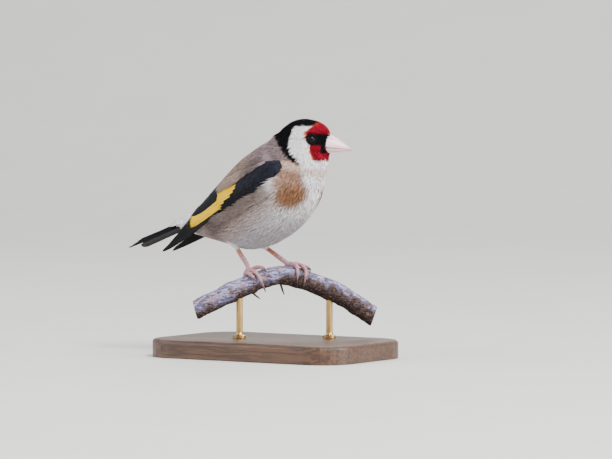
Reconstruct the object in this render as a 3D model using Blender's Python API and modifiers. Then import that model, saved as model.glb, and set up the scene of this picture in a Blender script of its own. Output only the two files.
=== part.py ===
"""A European goldfinch at life size, perched on a cut length of branch over a turned display stand.

The bird faces +X with its left side at +Y. Z is up, and the origin is the centre of the
stand's underside. Sizes are written in millimetres, and every point is multiplied by MM at the end.
The body is one loft, parted by thin cuts into rump, torso, neck and head. The wings and the tail
are vanes laid in tiers and fused, and they are cut clear of the body by the same loft, grown by GAP.
"""

import math
import random

import bmesh
import bpy
from mathutils import Matrix, Vector
from mathutils.bvhtree import BVHTree

MM = 0.001
GAP = 0.3

# Sides of the body's cross-sections, and cross-sections for each station of the table below.
BODY_SIDES = 24
RINGS_PER_STATION = 2

# The head looks this far to the bird's left of the way the body faces.
HEAD_TURN = math.radians(18)
HEAD_PIVOT = Vector((12, 0, 0))
TURN_FROM, TURN_TO = 9.0, 13.0

# Cross-sections of the body from the tail's root to the bill: the point of the back (x, z), the
# point of the belly (x, z) and the half width.
BODY_STATIONS = (
    ((-53.0, 58.9), (-50.5, 56.9), 3.0),
    ((-49.0, 61.0), (-45.5, 55.4), 5.6),
    ((-44.5, 63.6), (-38.0, 53.6), 8.6),
    ((-38.5, 67.6), (-30.6, 52.0), 11.0),
    ((-31.5, 74.0), (-22.5, 50.2), 13.5),
    ((-24.1, 81.0), (-13.4, 48.3), 15.8),
    ((-16.1, 88.3), (-4.0, 49.9), 17.2),
    ((-10.0, 92.4), (4.5, 53.6), 17.8),
    ((-5.0, 95.3), (12.5, 59.4), 17.5),
    ((-1.5, 97.2), (18.6, 66.3), 16.3),
    ((0.5, 98.6), (22.3, 72.5), 14.6),
    ((1.5, 99.8), (24.1, 79.0), 12.6),
    ((3.8, 101.2), (25.5, 84.5), 11.2),
    ((6.6, 103.8), (26.0, 87.6), 10.2),
    ((11.0, 106.4), (26.2, 89.5), 9.6),
    ((16.5, 107.2), (26.3, 90.6), 8.5),
    ((22.5, 105.7), (26.6, 91.2), 6.1),
    ((25.8, 103.4), (27.0, 91.8), 3.9),
    ((27.2, 100.8), (27.2, 92.8), 2.4),
)
# Where the body is parted, counted in stations.
RUMP_CUT, NECK_CUT, HEAD_CUT = 3.0, 9.5, 12.5

# The eye: its centre on the head before the head turns, its radius, and how deep its centre sits.
EYE_X, EYE_Z = 20.8, 98.4
EYE_RADIUS, EYE_DEPTH = 2.15, 1.2
LID_RADIUS = 0.42
LID_STEPS, LID_SIDES = 18, 6
LID_SINK, LID_STRETCH = 0.12, 1.1

# Sections of the bill before the head turns: x, top of the culmen, mouth line, underside, half width.
BILL_SECTIONS = (
    (23.6, 101.6, 94.7, 91.8, 5.2),
    (25.8, 101.2, 94.6, 91.9, 4.6),
    (27.7, 100.2, 94.4, 92.0, 3.9),
    (30.5, 98.5, 94.15, 92.2, 2.9),
    (33.0, 96.85, 93.95, 92.5, 2.05),
    (35.2, 95.3, 93.7, 92.85, 1.2),
    (36.6, 94.15, 93.5, 93.1, 0.5),
)
NOSTRIL = (28.4, 98.4, 0.35)

# The wing is set out on a sheet over the flank: u runs from the bend of the wing to the tip of
# the longest primary, and v runs across it, up towards the back.
WING_BEND = Vector((12.2, 0, 87.3))
WING_TIP = Vector((-56.5, 0, 48.0))
WING_ALONG = (WING_TIP - WING_BEND).normalized()
WING_ACROSS = Vector((WING_ALONG.z, 0, -WING_ALONG.x))

# The outline of the wing's flesh and covert bed: u, lowest v, highest v.
WING_BED = (
    (0.2, -0.8, 1.0),
    (3.0, -2.2, 2.6),
    (8.0, -3.6, 4.4),
    (16.0, -4.8, 6.0),
    (26.0, -4.8, 7.0),
    (36.0, -4.2, 7.2),
    (46.0, -3.2, 5.6),
    (54.0, -2.4, 3.6),
)
WING_BED_LIFT = 1.0

# Tiers of the wing's vanes. Each row holds: count, first root, last root, first tip, last tip,
# width, thickness, lift at the root and lift at the tip.
WING_TIERS = (
    (7, (24, 1.0), (14, -2.4), (62, 2.2), (79, 0.7), 5.2, 0.8, 0.3, 1.0),
    (5, (26, 4.6), (22, 0.8), (57, 4.4), (62, 1.8), 5.6, 0.7, 0.9, 1.5),
    (3, (24, 5.4), (23, 3.6), (42, 7.0), (53, 5.0), 6.6, 0.7, 1.4, 2.1),
    (3, (15, -2.4), (11, -3.2), (40, -1.8), (46, -2.8), 3.8, 0.7, 0.9, 1.5),
    (6, (14, 4.8), (10, -2.4), (29, 5.2), (41, -2.0), 4.8, 0.7, 1.2, 2.0),
    (5, (8, 3.6), (7, -2.4), (18, 4.8), (28, -3.4), 4.8, 0.7, 1.3, 2.2),
    (4, (3, 2.2), (3, -1.6), (10, 3.6), (17, -3.6), 4.6, 0.7, 1.2, 2.2),
)

# The tail: where its vanes root and the slope of its upper side; the outer vanes are the longest.
TAIL_ROOT = Vector((-45.0, 0, 62.9))
TAIL_SLOPE = math.radians(21.5)
TAIL_INNER, TAIL_OUTER = 30.5, 34.6
TAIL_PAIRS = 6
TAIL_SPREAD = 3.4

# The perch is a bent length of branch, square to the photograph's line of sight: its plan line
# passes PERCH_PLAN, turned by PERCH_TURN, and each section gives distance along it, height, radius.
PERCH_PLAN = Vector((-2.4, 0, 0))
PERCH_TURN = math.radians(33)
PERCH_SECTIONS = (
    (-34.0, 20.8, 4.3),
    (-29.0, 23.5, 4.5),
    (-22.8, 26.4, 4.3),
    (-18.0, 28.9, 4.9),
    (-13.8, 30.7, 4.5),
    (-9.0, 33.0, 4.3),
    (-4.8, 34.5, 4.4),
    (0.0, 36.0, 4.3),
    (4.2, 36.6, 4.3),
    (9.0, 36.2, 4.6),
    (13.2, 35.3, 4.8),
    (18.0, 33.5, 4.5),
    (22.2, 31.9, 4.6),
    (27.0, 29.9, 5.0),
    (31.2, 28.0, 4.7),
    (36.0, 25.0, 4.5),
    (40.2, 22.3, 4.6),
    (46.5, 17.9, 4.5),
)
PERCH_RESOLUTION = 5

# Each leg: the hip in the belly, the ankle, the foot's place along the perch and its angle round
# it. A toe is a list of (distance along the perch, angle from its top towards the near side, extra
# height), and its last two points carry the claw.
TARSUS_RADIUS, TOE_RADIUS = 0.85, 0.78
LEGS = {
    "right": {
        "hip": (-19.2, -6.3, 52.5),
        "ankle": (-11.3, -5.3, 40.8),
        "foot": (-9.0, 5),
        "toes": {
            "inner": ((-9.0, 5, 0), (-8.3, 28, 0.2), (-7.4, 50, 0), (-6.7, 68, 0), (-6.1, 94, 0.2)),
            "middle": ((-9.0, 5, 0), (-6.5, 24, 0.5), (-4.9, 60, 0.2), (-4.3, 98, 0.2), (-3.8, 138, 2.4)),
            "outer": ((-9.0, 5, 0), (-5.7, -4, 0.6), (-3.0, 8, 0.3), (-1.5, 34, 0), (-0.9, 64, 0.3)),
            "hind": ((-9.0, 5, 0), (-10.0, -46, 0), (-10.6, -92, 0), (-10.4, -134, 0.1), (-7.4, -172, 3.0)),
        },
    },
    "left": {
        "hip": (-11.6, 4.4, 51.0),
        "ankle": (3.4, 5.0, 42.0),
        "foot": (8.4, -5),
        "toes": {
            "inner": ((8.4, -5, 0), (10.0, 18, 0.2), (11.2, 44, 0.1), (11.9, 70, 0), (12.5, 110, 1.2)),
            "middle": ((8.4, -5, 0), (11.8, 6, 0.4), (14.1, 36, 0.2), (15.2, 72, 0), (15.9, 118, 1.0)),
            "outer": ((8.4, -5, 0), (11.7, -16, 0.3), (14.0, -12, 0.2), (15.6, 8, 0), (16.3, 38, 0.3)),
            "hind": ((8.4, -5, 0), (6.4, -44, 0), (4.8, -92, 0), (4.1, -138, 0.1), (7.0, -177, 3.4)),
        },
    },
}

# The stand: a rounded base and two turned rods let into the underside of the perch.
BASE_LENGTH, BASE_WIDTH, BASE_HEIGHT, BASE_CORNER = 104.0, 66.0, 8.0, 16.0
BASE_EDGE = 1.6
ROD_RADIUS, ROD_COLLAR, ROD_COLLAR_HEIGHT = 1.5, 3.0, 1.6
ROD_PLACES = (-14.0, 26.5)
ROD_SINK = 2.0

SEED = 11


def smoothstep(value, low, high):
    share = min(1.0, max(0.0, (value - low) / (high - low)))
    return share * share * (3 - 2 * share)


def curve_at(values, t):
    """The point at t, counted in stations, of a smooth curve through the values."""
    last = len(values) - 1
    i = min(max(int(t), 0), last - 1)
    f = t - i
    a, b = values[max(i - 1, 0)], values[i]
    c, d = values[i + 1], values[min(i + 2, last)]
    return (
        b * (1 - 3 * f * f + 2 * f**3)
        + c * (3 * f * f - 2 * f**3)
        + (c - a) * 0.5 * (f - 2 * f * f + f**3)
        + (d - b) * 0.5 * (f**3 - f * f)
    )


def mix(a, b, share):
    return a + (b - a) * share


# Small helpers that make, join and cut closed meshes.


def make_object(name, mesh, collection):
    obj = bpy.data.objects.new(name, mesh)
    collection.objects.link(obj)
    return obj


def loft(name, rings, collection, poles=(0.0, 0.0)):
    """A closed mesh through rings of equal count. Each end is a point, stepped out by its pole."""
    bm = bmesh.new()
    rows = [[bm.verts.new(p * MM) for p in ring] for ring in rings]
    for low, high in zip(rows, rows[1:]):
        for k in range(len(low)):
            n = (k + 1) % len(low)
            bm.faces.new((low[k], low[n], high[n], high[k]))
    for row, inward, pole in ((rows[0], rows[1], poles[0]), (rows[-1], rows[-2], poles[1])):
        centre = sum((v.co for v in row), Vector()) / len(row)
        step = centre - sum((v.co for v in inward), Vector()) / len(inward)
        tip = bm.verts.new(centre + step.normalized() * pole * MM)
        for k in range(len(row)):
            bm.faces.new((row[k], row[(k + 1) % len(row)], tip))
    bmesh.ops.recalc_face_normals(bm, faces=bm.faces)
    mesh = bpy.data.meshes.new(name)
    bm.to_mesh(mesh)
    bm.free()
    return make_object(name, mesh, collection)


def tube(name, points, radii, resolution, collection, ends=(0.5, 0.5)):
    """A closed tube along the points, of changing radius: a bevelled curve made into a mesh.

    Each end is rounded by one more point, which is ahead by that share of the radius there.
    """
    first, last = points[0] - points[1], points[-1] - points[-2]
    path, sizes = list(points), list(radii)
    if ends[0]:
        path.insert(0, points[0] + first.normalized() * radii[0] * ends[0])
        sizes.insert(0, radii[0] * 0.6)
    if ends[1]:
        path.append(points[-1] + last.normalized() * radii[-1] * ends[1])
        sizes.append(radii[-1] * 0.6)
    curve = bpy.data.curves.new(name, "CURVE")
    curve.dimensions = "3D"
    curve.bevel_depth = MM
    curve.bevel_resolution = resolution
    curve.use_fill_caps = True
    spline = curve.splines.new("POLY")
    spline.points.add(len(path) - 1)
    for target, place, size in zip(spline.points, path, sizes):
        target.co = (*(place * MM), 1.0)
        target.radius = size
    guide = make_object(name + "_curve", curve, collection)
    graph = bpy.context.evaluated_depsgraph_get()
    mesh = bpy.data.meshes.new_from_object(guide.evaluated_get(graph))
    bpy.data.objects.remove(guide)
    bpy.data.curves.remove(curve)
    bm = bmesh.new()
    bm.from_mesh(mesh)
    bmesh.ops.remove_doubles(bm, verts=bm.verts, dist=0.000001)
    bmesh.ops.recalc_face_normals(bm, faces=bm.faces)
    bm.to_mesh(mesh)
    bm.free()
    mesh.name = name
    return make_object(name, mesh, collection)


def grown(obj, distance, collection):
    """A copy of a closed mesh, each point moved out along its normal."""
    copy = obj.copy()
    copy.data = obj.data.copy()
    collection.objects.link(copy)
    bm = bmesh.new()
    bm.from_mesh(copy.data)
    bm.normal_update()
    moved = [v.co + v.normal * distance * MM for v in bm.verts]
    for vert, place in zip(bm.verts, moved):
        vert.co = place
    bm.to_mesh(copy.data)
    bm.free()
    return copy


def apply_boolean(obj, operation, other=None, collection=None, solver="MANIFOLD"):
    modifier = obj.modifiers.new(operation.lower(), "BOOLEAN")
    modifier.operation = operation
    modifier.solver = solver
    if collection is None:
        modifier.object = other
    else:
        modifier.operand_type = "COLLECTION"
        modifier.collection = collection
    graph = bpy.context.evaluated_depsgraph_get()
    result = bpy.data.meshes.new_from_object(obj.evaluated_get(graph))
    obj.modifiers.remove(modifier)
    old = obj.data
    obj.data = result
    bpy.data.meshes.remove(old)


def remove_objects(objects):
    for obj in list(objects):
        bpy.data.objects.remove(obj)


def fuse(name, pieces, parts, cutters):
    """One union of all the closed pieces, kept under the name."""
    first, rest = pieces[0], pieces[1:]
    group = bpy.data.collections.new(name + "_pieces")
    cutters.children.link(group)
    for piece in rest:
        cutters.objects.unlink(piece)
        group.objects.link(piece)
    if rest:
        apply_boolean(first, "UNION", collection=group)
    remove_objects(rest)
    bpy.data.collections.remove(group)
    cutters.objects.unlink(first)
    parts.objects.link(first)
    first.name = name
    first.data.name = name
    return first


def keep_largest(obj):
    """Leaves only the largest closed surface of the node, and welds slivers shut."""
    bm = bmesh.new()
    bm.from_mesh(obj.data)
    bmesh.ops.triangulate(bm, faces=bm.faces)
    bmesh.ops.remove_doubles(bm, verts=bm.verts, dist=0.000002)
    bmesh.ops.dissolve_degenerate(bm, edges=bm.edges, dist=0.000002)
    left = set(bm.faces)
    shells = []
    while left:
        shell = []
        queue = [left.pop()]
        while queue:
            face = queue.pop()
            shell.append(face)
            for edge in face.edges:
                for other in edge.link_faces:
                    if other in left:
                        left.remove(other)
                        queue.append(other)
        shells.append(shell)
    shells.sort(key=lambda shell: sum(f.calc_area() for f in shell), reverse=True)
    spare = [face for shell in shells[1:] for face in shell]
    if spare:
        bmesh.ops.delete(bm, geom=spare, context="FACES")
    bmesh.ops.recalc_face_normals(bm, faces=bm.faces)
    bm.to_mesh(obj.data)
    bm.free()


# The body.

DORSAL = [Vector((x, 0, z)) for (x, z), _, _ in BODY_STATIONS]
VENTRAL = [Vector((x, 0, z)) for _, (x, z), _ in BODY_STATIONS]
HALF_WIDTHS = [width for _, _, width in BODY_STATIONS]
BODY_END = len(BODY_STATIONS) - 1


def head_turn(t):
    """The turn of the head to the bird's left, which the neck takes up between two stations."""
    angle = HEAD_TURN * smoothstep(t, TURN_FROM, TURN_TO)
    turn = Matrix.Rotation(angle, 4, "Z")
    return Matrix.Translation(HEAD_PIVOT) @ turn @ Matrix.Translation(-HEAD_PIVOT)


def body_ring(t, shift=0.0):
    """The cross-section of the body at t stations from the tail, moved along its own normal."""
    top, bottom, width = curve_at(DORSAL, t), curve_at(VENTRAL, t), curve_at(HALF_WIDTHS, t)
    centre = (top + bottom) / 2
    normal = (top - bottom).cross(Vector((0, -1, 0))).normalized()
    turn = head_turn(t)
    ring = []
    for k in range(BODY_SIDES):
        phi = 2 * math.pi * k / BODY_SIDES
        point = centre + (top - centre) * math.cos(phi) + Vector((0, width * math.sin(phi), 0))
        ring.append(turn @ (point + normal * shift))
    return ring


def body_piece(name, start, end, collection, parted=(True, True)):
    """The body between two stations, set back by half a gap at each end that meets a neighbour."""
    steps = int(round((end - start) * RINGS_PER_STATION))
    rings = []
    for k in range(steps + 1):
        shift = 0.0
        if k == 0 and parted[0]:
            shift = GAP / 2
        if k == steps and parted[1]:
            shift = -GAP / 2
        rings.append(body_ring(start + k / RINGS_PER_STATION, shift))
    poles = (0.0 if parted[0] else 0.8, 0.0 if parted[1] else 0.8)
    return loft(name, rings, collection, poles)


def make_body(parts, cutters):
    whole = body_piece("body_whole", 0, BODY_END, cutters, (False, False))
    rump = body_piece("rump", 0, RUMP_CUT, parts, (False, True))
    torso = body_piece("torso", RUMP_CUT, NECK_CUT, parts)
    neck = body_piece("neck", NECK_CUT, HEAD_CUT, parts)
    head = body_piece("head", HEAD_CUT, BODY_END, cutters, (True, False))
    return whole, [rump, torso, neck], head


def surface_of(obj):
    bm = bmesh.new()
    bm.from_mesh(obj.data)
    tree = BVHTree.FromBMesh(bm)
    bm.free()
    return tree


def ball(name, centre, radius, collection, segments=16, rings=10):
    bm = bmesh.new()
    bmesh.ops.create_uvsphere(bm, u_segments=segments, v_segments=rings, radius=radius * MM)
    bmesh.ops.translate(bm, verts=bm.verts, vec=centre * MM)
    mesh = bpy.data.meshes.new(name)
    bm.to_mesh(mesh)
    bm.free()
    return make_object(name, mesh, collection)


def make_head(head, whole, parts, cutters):
    """The head with its lids and eye sockets, and the two eyes."""
    tree = surface_of(whole)
    turn = head_turn(BODY_END)
    lids, sockets, eyes = [], [], []
    for side, label in ((-1, "right"), (1, "left")):
        start = turn @ Vector((EYE_X, side * 40, EYE_Z))
        way = turn.to_3x3() @ Vector((0, -side, 0))
        place, normal, _, _ = tree.ray_cast(start * MM, way)
        place = place / MM
        centre = place - normal * EYE_DEPTH
        reach = math.sqrt((EYE_RADIUS + GAP) ** 2 - EYE_DEPTH**2) + LID_RADIUS * 0.6
        lids.append(lid_ring("lid_" + label, place - normal * LID_SINK, normal, reach, cutters))
        sockets.append(ball("socket_" + label, centre, EYE_RADIUS + GAP, cutters))
        eyes.append(ball("eye_" + label, centre, EYE_RADIUS, parts))
    head = fuse("head", [head] + lids, parts, cutters)
    for socket in sockets:
        apply_boolean(head, "DIFFERENCE", socket)
    remove_objects(sockets)
    return head, eyes


def lid_ring(name, centre, normal, reach, collection):
    """The bare rim round the eye, as a torus laid on the head and drawn out a little fore and aft."""
    bm = bmesh.new()
    rows = []
    turn = normal.to_track_quat("Z", "Y").to_matrix()
    for k in range(LID_STEPS):
        around = 2 * math.pi * k / LID_STEPS
        row = []
        for s in range(LID_SIDES):
            angle = 2 * math.pi * s / LID_SIDES
            radius = reach + LID_RADIUS * math.cos(angle)
            x, y = radius * LID_STRETCH * math.cos(around), radius * math.sin(around)
            place = turn @ Vector((x, y, LID_RADIUS * math.sin(angle)))
            row.append(bm.verts.new((centre + place) * MM))
        rows.append(row)
    for k, row in enumerate(rows):
        after = rows[(k + 1) % LID_STEPS]
        for s in range(LID_SIDES):
            n = (s + 1) % LID_SIDES
            bm.faces.new((row[s], row[n], after[n], after[s]))
    bmesh.ops.recalc_face_normals(bm, faces=bm.faces)
    mesh = bpy.data.meshes.new(name)
    bm.to_mesh(mesh)
    bm.free()
    return make_object(name, mesh, collection)


def half_round(x, low, high, width, crown, count=8):
    """A ring with one flat side, on the mouth line, and one arched side."""
    ring = []
    for k in range(count + 1):
        angle = math.pi * k / count
        y = width * math.cos(angle)
        z = mix(low, high, math.sin(angle) ** crown)
        ring.append(Vector((x, y, z)))
    for y in (-0.5, 0.0, 0.5):
        ring.append(Vector((x, width * y, low)))
    return ring


def make_bill(grown_body, parts, cutters):
    """The upper and lower halves of the bill. The gap between them is the mouth line."""
    turn = head_turn(BODY_END)
    upper = [
        [turn @ p for p in half_round(x, mouth + GAP / 2, top, width, 0.9)]
        for x, top, mouth, _, width in BILL_SECTIONS
    ]
    lower = [
        [turn @ p for p in half_round(x, mouth - GAP / 2, under, width * 0.9, 0.9)]
        for x, _, mouth, under, width in BILL_SECTIONS
    ]
    bill_upper = loft("bill_upper", upper, parts, (0.0, 0.9))
    bill_lower = loft("bill_lower", lower, parts, (0.0, 0.5))
    x, z, radius = NOSTRIL
    for side in (-1, 1):
        width = 3.4 * side
        points = [turn @ Vector((x - 0.5, width * k, z + 0.2)) for k in (0.62, 1.3)]
        hole = tube("nostril", points, [radius] * 2, 2, cutters, (0, 0))
        apply_boolean(bill_upper, "DIFFERENCE", hole)
        remove_objects([hole])
    for half in (bill_upper, bill_lower):
        apply_boolean(half, "DIFFERENCE", grown_body)
    return [bill_upper, bill_lower]


# Vanes: flat tapered feathers laid along a path.


def vane(name, points, normals, width, thickness, collection, tip=0.35, roll=0.0):
    """A closed feather with a raised middle, a narrow root and a rounded tip."""
    rings = []
    last = len(points) - 1
    for k, point in enumerate(points):
        share = k / last
        ahead = (points[min(k + 1, last)] - points[max(k - 1, 0)]).normalized()
        normal = normals[k]
        across = normal.cross(ahead).normalized()
        normal = ahead.cross(across)
        if roll:
            turn = Matrix.Rotation(roll, 3, ahead)
            across, normal = turn @ across, turn @ normal
        broad = mix(0.55, 1.0, smoothstep(share, 0.0, 0.35))
        broad *= mix(1.0, tip, smoothstep(share, 0.72, 1.0))
        half = width * 0.5 * broad
        rise = thickness * 0.5 * mix(1.0, 0.65, smoothstep(share, 0.7, 1.0))
        across, normal = across * half, normal * rise
        rings.append([point + across, point + normal, point - across, point - normal])
    return loft(name, rings, collection, (0.0, width * 0.12))


def wing_point(tree, u, v, lift):
    """A point over the right flank: on the body where there is body, and on a plane beyond it."""
    place = WING_BEND + WING_ALONG * u + WING_ACROSS * v
    hit = tree.ray_cast(Vector((place.x, -60, place.z)) * MM, Vector((0, 1, 0)))[0]
    plane = mix(10.4, 4.2, min(1.0, max(0.0, (u - 52) / 27)))
    plane -= max(0.0, v - 3) * 0.9
    reach = max(plane, -hit.y / MM) if hit else plane
    return Vector((place.x, -reach - lift, place.z))


def wing_normal(tree, u, v):
    ahead = wing_point(tree, u + 2, v, 0) - wing_point(tree, u - 2, v, 0)
    above = wing_point(tree, u, v + 1.5, 0) - wing_point(tree, u, v - 1.5, 0)
    return above.cross(ahead).normalized() * (-1 if above.cross(ahead).y > 0 else 1)


def wing_bed(tree, cutters):
    """The flesh and the covert bed, lens-shaped, that every vane of the wing roots in."""
    rings = []
    for u, low, high in WING_BED:
        ring = []
        for k in range(9):
            share = k / 8
            lift = WING_BED_LIFT * max(0.0, math.sin(math.pi * share)) ** 0.5
            ring.append(wing_point(tree, u, mix(low, high, share), lift))
        for k in range(7, 0, -1):
            ring.append(wing_point(tree, u, mix(low, high, k / 8), -0.9))
        rings.append(ring)
    return loft("wing_bed", rings, cutters, (0.4, 0.6))


def make_wing(name, whole, grown_body, parts, cutters):
    """The right wing: the bed, then tiers of vanes from the primaries up to the lesser coverts."""
    dice = random.Random(SEED)
    tree = surface_of(whole)
    pieces = [wing_bed(tree, cutters)]
    for tier, row in enumerate(WING_TIERS):
        count, root_a, root_b, tip_a, tip_b, width, thickness, low, high = row
        for k in range(count):
            share = k / (count - 1)
            root_u, root_v = mix(root_a[0], root_b[0], share), mix(root_a[1], root_b[1], share)
            tip_u, tip_v = mix(tip_a[0], tip_b[0], share), mix(tip_a[1], tip_b[1], share)
            tip_u += dice.uniform(-0.4, 0.4)
            bow = dice.uniform(-0.2, 0.2) - 0.6
            points, normals = [], []
            steps = 4 if tip_u - root_u > 20 else 3
            for s in range(steps + 1):
                along = s / steps
                u = mix(root_u, tip_u, along)
                v = mix(root_v, tip_v, along) + bow * math.sin(math.pi * along)
                lift = mix(low, high, along) + 0.12 * (share - 0.5)
                points.append(wing_point(tree, u, v, lift))
                normals.append(wing_normal(tree, u, v))
            size = width * dice.uniform(0.95, 1.05)
            pieces.append(vane(f"vane_{tier}_{k}", points, normals, size, thickness, cutters, roll=0.14))
    wing = fuse(name, pieces, parts, cutters)
    apply_boolean(wing, "DIFFERENCE", grown_body)
    return wing


def mirrored(obj, name, parts):
    """A copy on the other side of the bird's midline."""
    copy = obj.copy()
    copy.data = obj.data.copy()
    copy.name = name
    parts.objects.link(copy)
    copy.data.transform(Matrix.Scale(-1, 4, Vector((0, 1, 0))))
    copy.data.flip_normals()
    return copy


def make_tail(grown_body, parts, cutters):
    """Six pairs of tail vanes, the outer pair lowest and longest, and the coverts over their roots."""
    dice = random.Random(SEED + 1)
    back = Vector((-math.cos(TAIL_SLOPE), 0, -math.sin(TAIL_SLOPE)))
    above = Vector((-math.sin(TAIL_SLOPE), 0, math.cos(TAIL_SLOPE)))
    side = Vector((0, 1, 0))
    pieces = []
    rings = []
    for along, wide, deep in ((-6, 2.4, 2.0), (0, 3.6, 2.4), (8, 4.0, 1.8), (16, 3.4, 1.0), (22, 2.4, 0.6)):
        centre = TAIL_ROOT + back * along - above * 2.4
        ring = []
        for k in range(12):
            angle = 2 * math.pi * k / 12
            ring.append(centre + side * wide * math.cos(angle) + above * deep * math.sin(angle))
        rings.append(ring)
    pieces.append(loft("tail_bed", rings, cutters, (0.5, 0.5)))
    for pair in range(TAIL_PAIRS):
        share = pair / (TAIL_PAIRS - 1)
        length = mix(TAIL_INNER, TAIL_OUTER, share) + dice.uniform(-0.3, 0.3)
        for hand in (-1, 1):
            points, normals = [], []
            for s in range(6):
                along = s / 5
                fan = TAIL_SPREAD * share * along**1.2 * 0.62
                aside = hand * (mix(0.7, 2.6, share) + fan + 0.9 * along)
                drop = 1.0 + 2.1 * share + 0.15 * (hand > 0) - 0.4 * along * along
                points.append(TAIL_ROOT + back * length * along - above * drop + side * aside)
                normals.append((above + side * hand * 0.25 * share).normalized())
            pieces.append(vane("tail_vane", points, normals, 5.0, 0.75, cutters, tip=0.3, roll=0.1 * hand))
    for over, rows in ((1, ((0, 4, 14.0), (-3, 3, 12.0))), (-1, ((-2, 4, 18.0), (-7, 3, 16.0)))):
        for start, count, length in rows:
            for k in range(count):
                spread = (k / (count - 1) - 0.5) * 2
                points, normals = [], []
                for s in range(4):
                    along = s / 3
                    rise = 0.2 if over > 0 else -4.4
                    place = TAIL_ROOT + back * (start + (length - 3 * abs(spread)) * along)
                    place += above * (rise - over * (1.3 * spread * spread + 0.6 * along))
                    points.append(place + side * spread * mix(3.4, 4.2, along))
                    normals.append((above * over + side * spread * 0.4).normalized())
                pieces.append(vane("tail_covert", points, normals, 4.6, 0.8, cutters, tip=0.4))
    tail = fuse("tail", pieces, parts, cutters)
    apply_boolean(tail, "DIFFERENCE", grown_body)
    return tail


# The perch, the legs and the stand.

PERCH_ALONG = Vector((math.cos(PERCH_TURN), math.sin(PERCH_TURN), 0))
PERCH_NEAR = Vector((math.sin(PERCH_TURN), -math.cos(PERCH_TURN), 0))


def perch_at(distance):
    """The centre of the perch and its radius at a distance along its plan line."""
    for low, high in zip(PERCH_SECTIONS, PERCH_SECTIONS[1:]):
        if distance <= high[0] or high is PERCH_SECTIONS[-1]:
            share = (distance - low[0]) / (high[0] - low[0])
            height, radius = mix(low[1], high[1], share), mix(low[2], high[2], share)
            return PERCH_PLAN + PERCH_ALONG * distance + Vector((0, 0, height)), radius
    return None


def perch_surface(distance, angle, lift):
    """A point over the perch, turned from its top towards the side nearest the camera."""
    centre, radius = perch_at(distance)
    ahead = (perch_at(distance + 1)[0] - perch_at(distance - 1)[0]).normalized()
    top = PERCH_NEAR.cross(ahead).normalized()
    if top.z < 0:
        top = -top
    way = top * math.cos(math.radians(angle)) + PERCH_NEAR * math.sin(math.radians(angle))
    return centre + way * (radius + lift)


def make_perch(parts, cutters):
    points = [perch_at(row[0])[0] for row in PERCH_SECTIONS]
    radii = [row[2] for row in PERCH_SECTIONS]
    return tube("perch", points, radii, PERCH_RESOLUTION, parts, (0, 0))


def smooth_path(points, steps):
    return [curve_at(points, k / steps) for k in range((len(points) - 1) * steps + 1)]


def make_leg(side, plan, blockers, grown_body, parts, cutters):
    """One leg with four toes, and their claws as pieces of their own."""
    hip, ankle = Vector(plan["hip"]), Vector(plan["ankle"])
    foot = perch_surface(plan["foot"][0], plan["foot"][1], TOE_RADIUS + GAP)
    path = smooth_path([hip, mix(hip, ankle, 0.5), ankle, foot], 3)
    radii = [mix(TARSUS_RADIUS * 1.25, TARSUS_RADIUS, min(1, k / 3)) for k in range(len(path))]
    radii[-3:] = [TARSUS_RADIUS * 1.1, TARSUS_RADIUS * 1.25, TARSUS_RADIUS * 1.2]
    pieces = [tube("tarsus", path, radii, 3, cutters)]
    claws = []
    for toe, rows in plan["toes"].items():
        points = [perch_surface(s, angle, TOE_RADIUS + GAP + lift) for s, angle, lift in rows]
        path = smooth_path(points[:4], 3)
        radii = []
        for k in range(len(path)):
            pad = 1.0 + 0.12 * math.cos(2 * math.pi * k / 3)
            radii.append(TOE_RADIUS * mix(1.05, 0.82, k / (len(path) - 1)) * pad)
        pieces.append(tube("toe_" + toe, path, radii, 2, cutters, (0, 0.3)))
        ahead = (path[-1] - path[-2]).normalized()
        start = path[-1] + ahead * (0.25 + GAP)
        outward = (start - perch_at(rows[3][0])[0]).normalized()
        bend = points[4] - (points[4] - start) * 0.45 + outward * 0.35
        claw_path = smooth_path([start, bend, points[4]], 3)
        claw_radii = [mix(0.62, 0.16, (k / (len(claw_path) - 1)) ** 0.8) for k in range(len(claw_path))]
        claws.append(tube(f"claw_{side}_{toe}", claw_path, claw_radii, 1, parts, (0, 0.6)))
    leg = fuse("leg_" + side, pieces, parts, cutters)
    for blocker in blockers:
        apply_boolean(leg, "DIFFERENCE", blocker)
        for claw in claws:
            apply_boolean(claw, "DIFFERENCE", blocker)
    apply_boolean(leg, "DIFFERENCE", grown_body)
    return leg, claws


def make_base(parts):
    """A block with rounded corners and a softened top edge."""
    bm = bmesh.new()
    bmesh.ops.create_cube(bm, size=MM)
    bmesh.ops.scale(bm, verts=bm.verts, vec=(BASE_LENGTH, BASE_WIDTH, BASE_HEIGHT))
    bmesh.ops.translate(bm, verts=bm.verts, vec=(0, 0, BASE_HEIGHT / 2 * MM))
    upright = [e for e in bm.edges if abs(e.verts[0].co.z - e.verts[1].co.z) > MM]
    bmesh.ops.bevel(bm, geom=upright, offset=BASE_CORNER * MM, segments=6, profile=0.5, affect="EDGES")
    rim = [e for e in bm.edges if min(v.co.z for v in e.verts) > (BASE_HEIGHT - 0.1) * MM]
    bmesh.ops.bevel(bm, geom=rim, offset=BASE_EDGE * MM, segments=3, profile=0.5, affect="EDGES")
    bmesh.ops.recalc_face_normals(bm, faces=bm.faces)
    mesh = bpy.data.meshes.new("stand_base")
    bm.to_mesh(mesh)
    bm.free()
    return make_object("stand_base", mesh, parts)


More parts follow.
